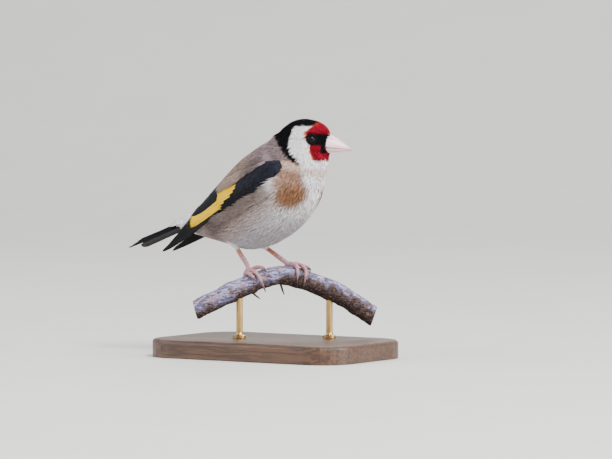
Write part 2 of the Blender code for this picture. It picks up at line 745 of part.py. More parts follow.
def make_rod(name, centre, profile, parts):
    """A turned rod: its profile, from top to bottom, with a Screw modifier."""
    mesh = bpy.data.meshes.new(name)
    points = [Vector((reach, 0, height)) * MM for reach, height in profile]
    mesh.from_pydata(points, [(k, k + 1) for k in range(len(points) - 1)], [])
    rod = make_object(name, mesh, parts)
    rod.location = Vector((centre.x, centre.y, 0)) * MM
    screw = rod.modifiers.new("turn", "SCREW")
    screw.steps = screw.render_steps = 20
    screw.use_merge_vertices = True
    screw.merge_threshold = 0.00001
    return rod


def make_stand(perch, parts, cutters):
    """The base, and two rods that stand on it and run up into holes in the perch."""
    nodes = [make_base(parts)]
    for number, distance in enumerate(ROD_PLACES, 1):
        centre, radius = perch_at(distance)
        foot = BASE_HEIGHT + GAP
        top = centre.z - radius + ROD_SINK
        profile = (
            (0.0, top),
            (ROD_RADIUS - 0.4, top),
            (ROD_RADIUS, top - 0.4),
            (ROD_RADIUS, foot + ROD_COLLAR_HEIGHT * 1.6),
            (ROD_RADIUS * 1.2, foot + ROD_COLLAR_HEIGHT),
            (ROD_COLLAR, foot + ROD_COLLAR_HEIGHT * 0.7),
            (ROD_COLLAR, foot),
            (0.0, foot),
        )
        nodes.append(make_rod(f"stand_rod_{number}", centre, profile, parts))
        ends = [Vector((centre.x, centre.y, height)) for height in (foot, top + GAP)]
        hole = tube("hole", ends, [ROD_RADIUS + GAP] * 2, 6, cutters, (0, 0))
        apply_boolean(perch, "DIFFERENCE", hole)
        remove_objects([hole])
    return nodes


COLOURS = {
    "head": ((0.42, 0.02, 0.03), 0.8),
    "neck": ((0.55, 0.5, 0.45), 0.85),
    "torso": ((0.5, 0.42, 0.34), 0.85),
    "rump": ((0.7, 0.7, 0.68), 0.85),
    "eye": ((0.01, 0.008, 0.008), 0.08),
    "bill": ((0.8, 0.66, 0.64), 0.35),
    "wing": ((0.02, 0.02, 0.03), 0.55),
    "tail": ((0.02, 0.02, 0.025), 0.55),
    "leg": ((0.55, 0.28, 0.23), 0.5),
    "claw": ((0.5, 0.36, 0.3), 0.35),
    "perch": ((0.2, 0.17, 0.19), 0.85),
    "stand_base": ((0.12, 0.07, 0.04), 0.4),
    "stand_rod": ((0.7, 0.55, 0.3), 0.3),
}


def paint(obj):
    """A material of the node's own, after the longest family name that it starts with."""
    family = max((key for key in COLOURS if obj.name.startswith(key)), key=len)
    colour, roughness = COLOURS[family]
    material = bpy.data.materials.new(obj.name)
    material.use_nodes = True
    shader = material.node_tree.nodes["Principled BSDF"]
    shader.inputs["Base Color"].default_value = (*colour, 1.0)
    shader.inputs["Roughness"].default_value = roughness
    obj.data.materials.clear()
    obj.data.materials.append(material)


def main():
    for obj in list(bpy.data.objects):
        bpy.data.objects.remove(obj)
    parts = bpy.data.collections.new("goldfinch")
    cutters = bpy.data.collections.new("cutters")
    for collection in (parts, cutters):
        bpy.context.scene.collection.children.link(collection)
    whole, nodes, head = make_body(parts, cutters)
    body_clear = grown(whole, GAP, cutters)
    head, eyes = make_head(head, whole, parts, cutters)
    nodes += [head] + eyes + make_bill(body_clear, parts, cutters)
    wing = make_wing("wing_right", whole, body_clear, parts, cutters)
    nodes += [wing, mirrored(wing, "wing_left", parts), make_tail(body_clear, parts, cutters)]
    perch = make_perch(parts, cutters)
    perch_clear = grown(perch, GAP * 0.8, cutters)
    nodes += make_stand(perch, parts, cutters) + [perch]
    blockers = [perch_clear]
    for side, plan in LEGS.items():
        leg, claws = make_leg(side, plan, blockers, body_clear, parts, cutters)
        nodes += [leg] + claws
    for obj in nodes:
        if obj.name.startswith("stand_"):
            obj.data.shade_flat()
        else:
            keep_largest(obj)
            obj.data.shade_smooth()
        obj.data.set_sharp_from_angle(angle=math.radians(40))
        paint(obj)
    remove_objects(cutters.objects)


main()
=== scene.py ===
# %% [markdown]
# A goldfinch at life size, on a cut length of branch over a small display stand.
# The solid model is loaded first. Everything here is dressed over it, in metres, with +X the way
# the bird faces, +Y its left side and Z up. The sizes below are in millimetres and MM brings them down.

# %% Load the model and keep its box
import math

import bmesh
import bpy
import numpy as np
from mathutils import Matrix, Vector
from mathutils.bvhtree import BVHTree
from mathutils.noise import fractal, noise


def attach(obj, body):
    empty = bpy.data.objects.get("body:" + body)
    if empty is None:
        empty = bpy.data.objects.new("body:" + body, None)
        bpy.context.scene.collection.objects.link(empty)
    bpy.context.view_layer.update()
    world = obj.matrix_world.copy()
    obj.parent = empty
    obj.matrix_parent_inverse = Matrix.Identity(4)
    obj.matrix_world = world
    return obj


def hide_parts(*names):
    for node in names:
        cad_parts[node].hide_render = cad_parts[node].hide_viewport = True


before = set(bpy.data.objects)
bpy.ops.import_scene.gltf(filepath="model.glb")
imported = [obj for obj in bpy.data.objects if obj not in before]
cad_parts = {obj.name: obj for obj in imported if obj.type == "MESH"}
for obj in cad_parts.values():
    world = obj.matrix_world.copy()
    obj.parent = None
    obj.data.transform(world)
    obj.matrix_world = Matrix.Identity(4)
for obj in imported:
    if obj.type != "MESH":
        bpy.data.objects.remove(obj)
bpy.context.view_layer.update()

MM = 0.001

# %% [markdown]
# The camera comes first, because every later choice is judged through it. A long lens from almost
# two metres keeps the bird's proportions flat, as in wildlife pictures. Each pixel of the picture is
# 0.45 mm at the bird, so the lens follows from the distance. One pixel of the picture is the zero that
# the bird was measured from. It lies on the model's own upright axis, 40 mm up.

# %% Camera
YAW, TILT, DISTANCE = math.radians(33), math.radians(2.5), 1.8
PIXEL = 0.45 * MM
PICTURE_WIDTH, MIDDLE_COLUMN, MIDDLE_ROW = 612, 306, 229.5
ZERO_COLUMN, ZERO_ROW, ZERO_HEIGHT = 275, 268, 40 * MM
SENSOR = 36
IMAGE_RIGHT = Vector((math.cos(YAW), math.sin(YAW), 0))
TO_CAMERA = Vector((math.sin(YAW) * math.cos(TILT), -math.cos(YAW) * math.cos(TILT), math.sin(TILT)))
AIM = IMAGE_RIGHT * (MIDDLE_COLUMN - ZERO_COLUMN) * PIXEL
AIM.z = ZERO_HEIGHT + (ZERO_ROW - MIDDLE_ROW) * PIXEL


def shown(name, data):
    """A new object in the scene that shows the data."""
    made = bpy.data.objects.new(name, data)
    bpy.context.collection.objects.link(made)
    return made


lens = bpy.data.cameras.new("camera")
lens.sensor_width = SENSOR
lens.lens = SENSOR * DISTANCE / (PICTURE_WIDTH * PIXEL)
lens.clip_start, lens.clip_end = 0.05, 20
camera = shown("camera", lens)
camera.location = AIM + TO_CAMERA * DISTANCE
camera.rotation_euler = TO_CAMERA.to_track_quat("Z", "Y").to_euler()
bpy.context.scene.camera = camera
print("lens", round(lens.lens), "mm")

# %% [markdown]
# Shaders are easier to read as sums than as wires. This small class wraps the output of a node, and
# its operators add Math nodes. The loop below it gives it the operators, each also in the turned-round
# form that Python uses when the number stands first, as in 1 - mask.

# %% Sums of wires
class Wire:
    """The output of a node, which can be added, multiplied and compared."""

    def __init__(self, paper, socket):
        self.paper, self.socket = paper, socket

    def math(self, operation, *terms):
        return self.paper.node("ShaderNodeMath", {"operation": operation}, dict(enumerate(terms)))


OPERATORS = {"add": "ADD", "sub": "SUBTRACT", "mul": "MULTIPLY", "truediv": "DIVIDE", "pow": "POWER"}
for word, kind in OPERATORS.items():
    setattr(Wire, f"__{word}__", lambda self, other, kind=kind: self.math(kind, self, other))
    setattr(Wire, f"__r{word}__", lambda self, other, kind=kind: self.math(kind, other, self))
# larger and smaller take two numbers, and part is what is left when the whole part is taken off
FUNCTIONS = {
    "__abs__": "ABSOLUTE", "larger": "MAXIMUM", "smaller": "MINIMUM", "sine": "SINE", "part": "FRACT",
}
for word, kind in FUNCTIONS.items():
    setattr(Wire, word, lambda self, *others, kind=kind: self.math(kind, self, *others))
print(len(OPERATORS) * 2 + len(FUNCTIONS), "ways to join wires")

# %% [markdown]
# A material is a tree of nodes that ends in the Principled shader. The paper below holds one such
# tree, and one method adds any node to it: the node's type, its settings, and the values or wires of
# its sockets. The short functions after it are the steps that every finish here is written with.

# %% Paper for one material
class Paper:
    """One material with its Principled shader, written from the name and a few numbers."""

    def __init__(self, name, roughness=0.7, **numbers):
        self.material = bpy.data.materials.new(name)
        self.material.use_nodes = True
        self.tree = self.material.node_tree
        self.shader = self.tree.nodes["Principled BSDF"]
        self.shader.inputs["Roughness"].default_value = roughness
        for key, value in numbers.items():
            self.shader.inputs[key.replace("_", " ")].default_value = value

    def node(self, kind, settings=None, sockets=None, out=0):
        made = self.tree.nodes.new(kind)
        for key, value in (settings or {}).items():
            if key == "stops":
                ramp = made.color_ramp.elements
                for place, colour in value[1:-1]:
                    ramp.new(place).color = (*colour, 1)
                ramp[0].color = (*value[0][1], 1)
                ramp[len(ramp) - 1].color = (*value[-1][1], 1)
            else:
                setattr(made, key, value)
        for key, value in (sockets or {}).items():
            if isinstance(value, Wire):
                self.tree.links.new(value.socket, made.inputs[key])
            elif made.inputs[key].type == "RGBA" and len(value) == 3:
                made.inputs[key].default_value = (*value, 1)
            else:
                made.inputs[key].default_value = value
        return Wire(self, made.outputs[out])

    def vector(self, operation, sockets, out=0):
        return self.node("ShaderNodeVectorMath", {"operation": operation}, sockets, out)

    def place(self):
        """Where the shading point is on the object, in millimetres."""
        point = self.node("ShaderNodeTexCoord", out="Object")
        return self.vector("SCALE", {0: point, "Scale": 1000.0})

    def attribute(self, name, out="Fac"):
        return self.node("ShaderNodeAttribute", {"attribute_name": name}, out=out)

    def noise(self, vector, scale, detail=2.0, rough=0.5, out="Fac"):
        sockets = {"Vector": vector, "Scale": scale, "Detail": detail, "Roughness": rough}
        return self.node("ShaderNodeTexNoise", None, sockets, out=out)

    def finish(self, colour, roughness=None, height=None, depth=0.1):
        """Joins the colour, the roughness and a height in millimetres to the shader."""
        ends = {"Base Color": colour, "Roughness": roughness}
        if height is not None:
            sockets = {"Height": height, "Distance": depth * MM, "Strength": 1.0}
            ends["Normal"] = self.node("ShaderNodeBump", None, sockets)
        for key, wire in ends.items():
            if wire is not None:
                self.tree.links.new(wire.socket, self.shader.inputs[key])
        return self.material


def split(vector):
    """The three numbers of a place."""
    return [vector.paper.node("ShaderNodeSeparateXYZ", None, {0: vector}, out=k) for k in range(3)]


def soft(value, low, high):
    """0 below low, 1 above high and a smooth step between them."""
    ends = {"Value": value, "From Min": low, "From Max": high}
    return value.paper.node("ShaderNodeMapRange", {"interpolation_type": "SMOOTHSTEP"}, ends)


def mix(share, first, second):
    """The first colour where the share is 0, and the second where it is 1."""
    sockets = {0: share, 6: first, 7: second}
    return share.paper.node("ShaderNodeMix", {"data_type": "RGBA"}, sockets, out=2)


def shade(colour, amount):
    """The colour made darker or lighter by a wire near 1."""
    grey = colour.paper.node("ShaderNodeCombineXYZ", None, {0: amount, 1: amount, 2: amount})
    return colour.paper.vector("MULTIPLY", {0: colour, 1: grey})


def stretch(place, x, y, z):
    """The place scaled, so that a pattern read there is drawn out where the scale is small."""
    return place.paper.node("ShaderNodeMapping", None, {"Vector": place, "Scale": (x, y, z)})


def swung(place, angle, x=0.0):
    """The place turned about the upright line through x."""
    sockets = {"Vector": place, "Center": (x, 0, 0), "Angle": angle}
    return place.paper.node("ShaderNodeVectorRotate", {"rotation_type": "Z_AXIS"}, sockets)


def follow(value, points):
    """The number that goes with a value, read off the straight lines through a few points."""
    keys, values = zip(*sorted(points))
    low, wide, least, tall = keys[0], keys[-1] - keys[0], min(values), max(values) - min(values)
    stops = [((a - low) / wide, [(b - least) / tall] * 3) for a, b in zip(keys, values)]
    ramp = value.paper.node("ShaderNodeValToRGB", {"stops": stops}, {"Fac": (value - low) / wide})
    return ramp * tall + least


def oval(a, b, middle, size):
    """0 in the middle of an oval and 1 on its rim. It takes wires and numpy arrays alike."""
    return ((a - middle[0]) / size[0]) ** 2 + ((b - middle[1]) / size[1]) ** 2


def ink(*chart):
    """A colour given as 0 to 255, as a paint chart does, turned into the shader's linear values."""
    return tuple(((c / 255 + 0.055) / 1.055) ** 2.4 if c > 10 else c / 255 / 12.92 for c in chart)


print("mid grey", [round(v, 3) for v in ink(128, 128, 128)])

# %% [markdown]
# The body is a smooth form through a few cross-sections, each one an ellipse between a point of the
# back and a point of the belly. The head is turned to the bird's left, and the neck takes the turn up.
# The same sections shaped the solid model, so the dressed bird keeps its size. A place on the body is
# given by two numbers: t counts sections from the tail to the bill, and phi turns from the back
# to the flank. Lists of places are worked on at once, as numpy arrays.

# %% The form of the body
# back x, back z, belly x, belly z, half width
SECTIONS = np.array([
    (-53.0, 58.9, -50.5, 56.9, 3.0), (-49.0, 61.0, -45.5, 55.4, 5.6), (-44.5, 63.6, -38.0, 53.6, 8.6),
    (-38.5, 67.6, -30.6, 52.0, 11.0), (-31.5, 74.0, -22.5, 50.2, 13.5), (-24.1, 81.0, -13.4, 48.3, 15.8),
    (-16.1, 88.3, -4.0, 49.9, 17.2), (-10.0, 92.4, 4.5, 53.6, 17.8), (-5.0, 95.3, 12.5, 59.4, 17.5),
    (-1.5, 97.2, 18.6, 66.3, 16.3), (0.5, 98.6, 22.3, 72.5, 14.6), (1.5, 99.8, 24.1, 79.0, 12.6),
    (3.8, 101.2, 25.5, 84.5, 11.2), (6.6, 103.8, 26.0, 87.6, 10.2), (11.0, 106.4, 26.2, 89.5, 9.6),
    (16.5, 107.2, 26.3, 90.6, 8.5), (22.5, 105.7, 26.6, 91.2, 6.1), (25.8, 103.4, 27.0, 91.8, 3.9),
    (27.2, 100.8, 27.2, 92.8, 2.4),
])
LAST = len(SECTIONS) - 1
HEAD_TURN, PIVOT_X = math.radians(18), 12.0


def through(rows, t):
    """The smooth curve through the rows, read at each t."""
    t = np.clip(t, 0, len(rows) - 1.0001)
    i = t.astype(int)
    f = (t - i)[..., None]
    a, b = rows[np.maximum(i - 1, 0)], rows[i]
    c, d = rows[i + 1], rows[np.minimum(i + 2, len(rows) - 1)]
    bend = (c - a) * (f - 2 * f**2 + f**3) + (d - b) * (f**3 - f**2)
    return b * (1 - 3 * f**2 + 2 * f**3) + c * (3 * f**2 - 2 * f**3) + bend / 2


def ease(value, low, high):
    share = np.clip((value - low) / (high - low), 0, 1)
    return share * share * (3 - 2 * share)


def turned(points, angle):
    """Points turned about the upright line that the head turns on."""
    x, y = points[..., 0] - PIVOT_X, points[..., 1]
    c, s = np.cos(angle), np.sin(angle)
    return np.stack([PIVOT_X + x * c - y * s, x * s + y * c, points[..., 2]], -1)


def body(t, phi):
    """The outside of the body in millimetres, at section t and angle phi."""
    t, phi = np.broadcast_arrays(np.asarray(t, float), np.asarray(phi, float))
    bx, bz, vx, vz, wide = np.moveaxis(through(SECTIONS, t), -1, 0)
    rise = np.cos(phi)
    x = (bx + vx) / 2 + (bx - vx) / 2 * rise
    z = (bz + vz) / 2 + (bz - vz) / 2 * rise
    points = np.stack([x, wide * np.sin(phi), z], -1)
    return turned(points, HEAD_TURN * ease(t, 9.0, 13.0))


def unit(vectors):
    return vectors / np.maximum(np.linalg.norm(vectors, axis=-1, keepdims=True), 1e-9)


def body_axes(t, phi):
    """At each place: the way back along the body, the way out of it, and how long one t is."""
    t = np.clip(t, 0.02, LAST - 0.02)
    run = (body(t + 0.02, phi) - body(t - 0.02, phi)) / 0.04
    around = body(t, phi + 0.02) - body(t, phi - 0.02)
    out = unit(np.cross(run, around))
    middle = body(t, phi) - (body(t, np.zeros_like(phi)) + body(t, np.full_like(phi, math.pi))) / 2
    out *= np.sign((out * middle).sum(-1, keepdims=True))
    return -unit(run), out, np.linalg.norm(run, axis=-1)


print("bill to tail root", round(float(np.linalg.norm(body(LAST, 0) - body(0, 0)))), "mm")

# %% [markdown]
# A grid is the handiest start for skins, bills, toes and feathers: it has two directions, and a
# function says where each of its points goes. Rolled up, its two sides meet and are merged, and its
# ends are closed with a cap.

# %% Grids that a function places
# points closer together than this are one
MERGE = 0.0001 * MM


def lattice(name, across, along, place, roll=False, thick=0.0, **notes):
    """A grid whose points are placed by place(u, v), both from 0 to 1.

    A rolled one is closed into a tube with ends. Each note is a function of u and v that gives three
    numbers for every point, which the material reads under the note's name."""
    bm = bmesh.new()
    layers = {key: bm.verts.layers.float_vector.new(key) for key in notes}
    verts = bmesh.ops.create_grid(bm, x_segments=across, y_segments=along, size=0.5)["verts"]
    uv = np.array([vert.co[:2] for vert in verts]) + 0.5
    for vert, point in zip(verts, place(uv[:, 0], uv[:, 1])):
        vert.co = point * MM
    for key, note in notes.items():
        values = np.broadcast_arrays(uv[:, 0], *note(uv[:, 0], uv[:, 1]))[1:]
        for vert, value in zip(verts, np.stack(values, -1)):
            vert[layers[key]] = Vector(value)
    bmesh.ops.remove_doubles(bm, verts=bm.verts, dist=MERGE)
    if roll:
        bmesh.ops.holes_fill(bm, edges=[e for e in bm.edges if e.is_boundary], sides=0)
    bmesh.ops.recalc_face_normals(bm, faces=bm.faces)
    if thick:
        bmesh.ops.solidify(bm, geom=bm.faces, thickness=thick * MM)
        bmesh.ops.recalc_face_normals(bm, faces=bm.faces)
    return piece_of(name, bm)


def piece_of(name, bm):
    """The finished mesh as an object in the scene."""
    mesh = bpy.data.meshes.new(name)
    bm.to_mesh(mesh)
    bm.free()
    mesh.shade_smooth()
    return shown(name, mesh)


def joined(name, pieces):
    """All the pieces as one object."""
    with bpy.context.temp_override(active_object=pieces[0], selected_editable_objects=pieces):
        bpy.ops.object.join()
    pieces[0].name = pieces[0].data.name = name
    return pieces[0]


def dress(piece, material, slot, *nodes):
    """Gives a piece its material and its place in the model, and hides the nodes it stands for; slot is
    unused.
    """
    piece.data.materials.clear()
    piece.data.materials.append(material)
    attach(piece, "root")
    if nodes:
        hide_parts(*nodes)
    return piece


print("meshes so far", len(bpy.data.meshes))

# %% [markdown]
# The markings belong to the bird and not to one mesh: the skin and every feather ask the same
# function for their colour. It works in side view, with the head turned back to straight ahead.
# The crown and the half collar behind the cheek are black, the cheek and throat white, the face red,
# with black from the eye to the bill. The back is grey brown, the breast has a tan patch on each
# side, and the belly and rump are white.

# %% Markings of the plumage
BEND, TIP = Vector((12.2, 0, 87.3)), Vector((-56.5, 0, 48.0))
WING_ALONG = (TIP - BEND).normalized()
WING_UP = Vector((WING_ALONG.z, 0, -WING_ALONG.x))


def wing_uv(x, z):
    """A place in side view as u, along the wing from its bend, and v, across it. It takes wires too."""
    x, z = x - BEND.x, z - BEND.z
    return x * WING_ALONG.x + z * WING_ALONG.z, x * WING_UP.x + z * WING_UP.z


def wing_xz(u, v):
    return BEND.x + WING_ALONG.x * u + WING_UP.x * v, BEND.z + WING_ALONG.z * u + WING_UP.z * v


RED, ORANGE, BLACK = ink(162, 13, 42), ink(218, 84, 34), ink(6, 7, 11)
WHITE, SHADED_BELLY, NAPE = ink(255, 251, 254), ink(212, 206, 212), ink(148, 129, 130)
MANTLE, SHADED, TAN = ink(158, 138, 125), ink(108, 93, 88), ink(156, 116, 92)
PATCH, BUFF, CREAM = ink(142, 102, 73), ink(158, 132, 118), ink(230, 200, 182)
# The edges of the head's markings, each as (z, x) from above downwards, with the head straight.
COLLAR_BACK = (
    (107, 2.0), (103, 0.0), (100.4, 0.0), (99.4, 2.0), (98.1, 4.4), (95.1, 6.1), (92.1, 8.9), (89, 12.4),
    (87, 16.0), (86, 18.0),
)
COLLAR_FRONT = (
    (107, 15), (104.5, 12.9), (101.8, 11.6), (99.2, 11.0), (95.6, 10.4), (93, 11.6), (90.3, 13.6),
    (88.1, 15.5), (86.8, 17),
)
RED_BACK = (
    (108, 24.0), (105.2, 21.6), (103.7, 19.8), (101.5, 18.0), (98.8, 17.4), (96.2, 19.3), (91.6, 20.4),
    (89.5, 21.6), (88, 23.0),
)


def plumage_colour(paper, point):
    """The colour of the plumage at a point given in millimetres."""
    wobble = paper.noise(point, 0.9, 3.0, 0.6, out="Color")
    wobble = paper.vector("SUBTRACT", {0: wobble, 1: (0.5, 0.5, 0.5)})
    wobble = paper.vector("SCALE", {0: wobble, "Scale": 2.2})
    point = paper.vector("ADD", {0: point, 1: wobble})
    x, y, z = split(point)
    hx, hy, hz = split(swung(point, -HEAD_TURN, PIVOT_X))
    side = abs(y)
    u, v = wing_uv(x, z)
    streak = paper.noise(stretch(point, 0.35, 1.2, 0.6), 1.0, 4.0, 0.6)
    # body: belly, flank, shadow of the wing, tan neck, throat band, breast patch, mantle, rump
    # white belly, painted greyer and darker low down as shade from above; the streaks are the feathers' own
    colour = mix(soft(z, 56, 74), SHADED_BELLY, WHITE)
    colour = shade(colour, 0.64 + streak * 0.26 + soft(z, 47, 64) * 0.2)
    flank = soft(v, -21, -12) * soft(u, 5, 16) * (1 - soft(u, 50, 66) * 0.5)
    colour = mix(flank * (0.35 + streak * 0.8), colour, BUFF)
    under = soft(v, -13.5, -8) * soft(u, 3, 13) * (1 - soft(u, 28, 40) * 0.2)
    under = under * (1 - soft(u, 48, 55) * 0.8)
    colour = mix(under * (0.5 + streak * 0.7), colour, SHADED)
    colour = shade(colour, 1 - under * soft(u, 30, 44) * 0.35)
    tan = soft(side, 7.6, 10.4) * soft(z, 66, 72) * soft(x, 9.2, 12.5)
    colour = mix(tan * 0.95, colour, TAN)
    band = 1 - soft(abs(z - 83.7 - (side - 4) * 0.3), 0.4, 3.6)
    colour = mix(band * (0.7 + soft(side, 3, 7) * 0.3) * soft(x, 8, 12), colour, CREAM)
    apart = 10.7 - soft(y, -1, 1) * 2.6
    spot = oval(side, z, (apart, 72.6), (6.0, 6.2))
    patch = (1 - soft(spot, 0.1, 1.3)) * soft(x, 6, 10)
    colour = mix(patch, colour, PATCH)
    back = mix(soft(u, 6, 22), NAPE, MANTLE)
    smudge = 1 - soft(oval(u, v, (11.5, 6.0), (6.0, 3.2)), 0.0, 2.0)
    back = shade(back, (0.7 + streak * 0.55) * (1 - smudge * 0.5))
    colour = mix(soft(v, -0.6, 2.6), colour, back)
    rump = soft(0 - x, 36.5, 41)
    colour = mix(rump, colour, WHITE)
    # head: collar and crown, cheek and throat, red face
    behind = hx - follow(hz, COLLAR_BACK)
    ahead = hx - follow(hz, COLLAR_FRONT)
    colour = mix(soft(behind, -0.3, 0.3) * soft(hz, 86.2, 87.2), colour, BLACK)
    cheek = soft(ahead, -0.3, 0.3) * (1 - soft(hz, 103.7, 104.5))
    cheek = cheek.larger((1 - soft(hz, 86.4, 87.6)) * (1 - soft(side, 6.5, 9)))
    cheek = cheek * soft(hx, 9.5, 10.5) * soft(hz + side * 0.1, 84.8, 86.6)
    # a line of painted shade along a groove across the cheek
    groove_shade = 1 - soft(abs(hz - 98.8 + (hx - 11) * 0.12), 0.1, 0.8)
    colour = mix(cheek, colour, mix(groove_shade * 0.35, WHITE, SHADED))
    beyond = hx - follow(hz, RED_BACK)
    red = soft(beyond, -0.3, 0.4) * soft(hz, 88.5, 89.3)
    rim = mix(soft(beyond, 0.1, 1.2), ORANGE, RED)
    flecks = paper.noise(point, 1.7, 4.0, 0.7)
    # painted shadow just above the eye, and painted shade that darkens the lower red; the flecks are the
    # red's own
    brow_shadow = 1 - soft(abs(hz - 101), 0.2, 1.8)
    deep = 0.3 + soft(flecks, 0.34, 0.64) * 0.72 + soft(hz, 93, 103) * 0.3 - brow_shadow * 0.2
    colour = mix(red, colour, shade(rim, deep))
    lore_x = hx.larger(20.6).smaller(27.4)
    lore = ((hx - lore_x) ** 2 + (hz - 98.4 + (lore_x - 20.6) * 0.10) ** 2) ** 0.5
    gape_z = hz.larger(93.0).smaller(98.0)
    gape = ((hx - 25.5 - (gape_z - 93.0) * 0.25) ** 2 + (hz - gape_z) ** 2) ** 0.5
    lore = lore + (flecks - 0.5) * 1.2
    dark = (1 - soft(lore, 2.2, 3.2)).larger(1 - soft(gape, 0.8, 1.6))
    dark = dark * soft(abs(hy), 1.2, 2.0)
    return mix(dark, colour, BLACK)


print("bend of the wing to its tip", round((TIP - BEND).length, 1), "mm")

# %% [markdown]
# Skin first. It replaces the head, neck, body and rump of the solid model in one piece, so that no
# cut shows, and it lies a little inside them, because the coat of feathers stands over it.

# %% Skin under the coat
COAT = 0.7


def skin_place(u, v):
    t, phi = v * LAST, u * 2 * math.pi
    return body(t, phi) - body_axes(t, phi)[1] * COAT


paper = Paper("skin_down", roughness=0.85, Specular_IOR_Level=0.1)
place = paper.place()
fluff = paper.noise(place, 2.5, 4.0, 0.7)
down = shade(plumage_colour(paper, place), 0.7 + fluff * 0.3)
skin = lattice("skin", 96, 150, skin_place, roll=True)
dress(skin, paper.finish(down, height=fluff, depth=0.25), "body_feathers", "head", "neck", "torso", "rump")
print("skin faces", len(skin.data.polygons))

# %% [markdown]
# Wings and eyes sit on the skin, so their makers need to know where it is. A BVH tree answers that:
# a ray is shot at it from the side, and the place that it hits is the surface.

# %% Finding the surface from the side
OUTSIDE = 60


def tree_of(piece):
    """A search tree of one piece's faces."""
    bm = bmesh.new()
    bm.from_mesh(piece.data)
    tree = BVHTree.FromBMesh(bm)
    bm.free()
    return tree


def reach(tree, x, z, hand):
    """How far out from the midline the tree's surface is, at each x and z, on one side of the bird."""
    found = np.zeros(len(x))
    for k, (px, pz) in enumerate(zip(x, z)):
        hit = tree.ray_cast(Vector((px, hand * OUTSIDE, pz)) * MM, Vector((0, -hand, 0)))[0]
        found[k] = hit.y * hand / MM if hit else 0.0
    return found


skin_tree = tree_of(skin)
print("half width at the flank", round(float(reach(skin_tree, [-8.0], [72.0], 1)[0]), 1), "mm")

# %% [markdown]
# The folded wing lies in its own frame: u runs from the bend at the shoulder to the wing's tip, v
# across it, upwards. A place on the wing is on the body where there is body beneath it, and on a
# plane of its own beyond. Layers of feathers close up towards the lower edge, as they do on the bird.

# %% The frame of the folded wing
# each edge as a row of u and a row of the v that goes with it
LOW_EDGE = (
    (-1, 1, 5, 9, 17, 24, 37, 45, 57, 80),
    (-0.5, -2.2, -4.0, -4.9, -6.0, -5.4, -4.9, -3.6, -2.6, -0.8),
)
TOP_EDGE = (
    (-1, 1, 4, 8, 15, 23, 27, 31, 37, 44, 53),
    (0.2, 0.9, 2.2, 3.7, 3.6, 3.2, 3.9, 4.4, 6.6, 6.4, 3.4),
)


def wing_place(u, v, lift, hand):
    """Points over the flank at u and v. The lift shrinks towards the lower edge."""
    x, z = wing_xz(u, v)
    # beyond the body the wing's own plane is 10.4 mm out, and closes in by 6.2 mm at the tip
    own = 10.4 - 6.2 * np.clip((u - 52) / 27, 0, 1) - np.maximum(v - 3, 0) * 0.9
    flesh = reach(skin_tree, x, z, hand) + COAT
    out = (flesh + own + np.sqrt((flesh - own) ** 2 + 1.0)) / 2 - 0.2
    close = 0.25 + 0.75 * ease(v - np.interp(u, *LOW_EDGE), -0.3, 4.0)
    return np.stack([x, hand * (out + lift * close), z], -1)


half_way = wing_place(np.array([40.0]), np.array([0.0]), 0.0, 1)[0]
print("half way along the wing", [round(float(v), 1) for v in half_way], "mm")

# %% [markdown]
# One flight feather is a shaft with a web on each side, narrow on the leading side and broad on the
# trailing one. It starts as a grid: c runs across it from -1 to 1, and run along it. Its edges are
# nicked here and there, where barbs have come apart. Notes on each point keep the place on the
# feather, and how far its yellow and its white reach, so one material serves every feather.

# %% One feather
WEB_THICK = 0.11


def outline(share, tip):
    """How much of its width a feather has, along it from root to tip."""
    end = np.clip((1 - share) / tip, 0, 1)
    return (0.35 + 0.65 * ease(share, -0.05, 0.3)) * np.sqrt(np.clip(1 - (1 - end) ** 2.2, 0.0004, 1))


def feather(name, put, length, lead, trail, zones, dice, tip, along):
    """A feather whose points put(run, aside, rise) finds, all in millimetres."""
    grain = dice.random()
    nicks = dice.uniform(0.25, 0.95, 5)
    deep = dice.uniform(0.0, 0.14, 5)

    def spread(u, v):
        share = 1 - (1 - v) ** 1.15
        side = u * 2 - 1
        half = np.where(side < 0, lead, trail) * outline(share, tip)
        for nick, depth in zip(nicks, deep):
            notch = np.exp(-(((share - nick) * length / 0.5) ** 2))
            half = half * (1 - depth * (np.abs(side) > 0.9) * notch)
        return share, side, half

    def place(u, v):
        share, side, half = spread(u, v)
        shaft = 0.10 * np.exp(-((side / 0.14) ** 2)) * (1 - share)
        return put(share * length, side * half, shaft - 0.22 * side**2)

    def quill(u, v):
        share, side, _ = spread(u, v)
        return side, share * length, grain

    return lattice(name, 8, along, place, thick=WEB_THICK, quill=quill, zone=lambda u, v: zones)


print("a feather's width half way along", round(float(outline(0.5, 0.3)), 2), "of its full width")

# %% [markdown]
# The wing's feathers lie in tiers. The primaries make the tip, the secondaries and the three broad
# tertials cover them, and rows of coverts lie over all their roots, smaller towards the shoulder. In
# each row of the table the first feather is the uppermost. A feather's yellow starts and ends at
# given distances along it, which is what draws the bird's yellow bar.

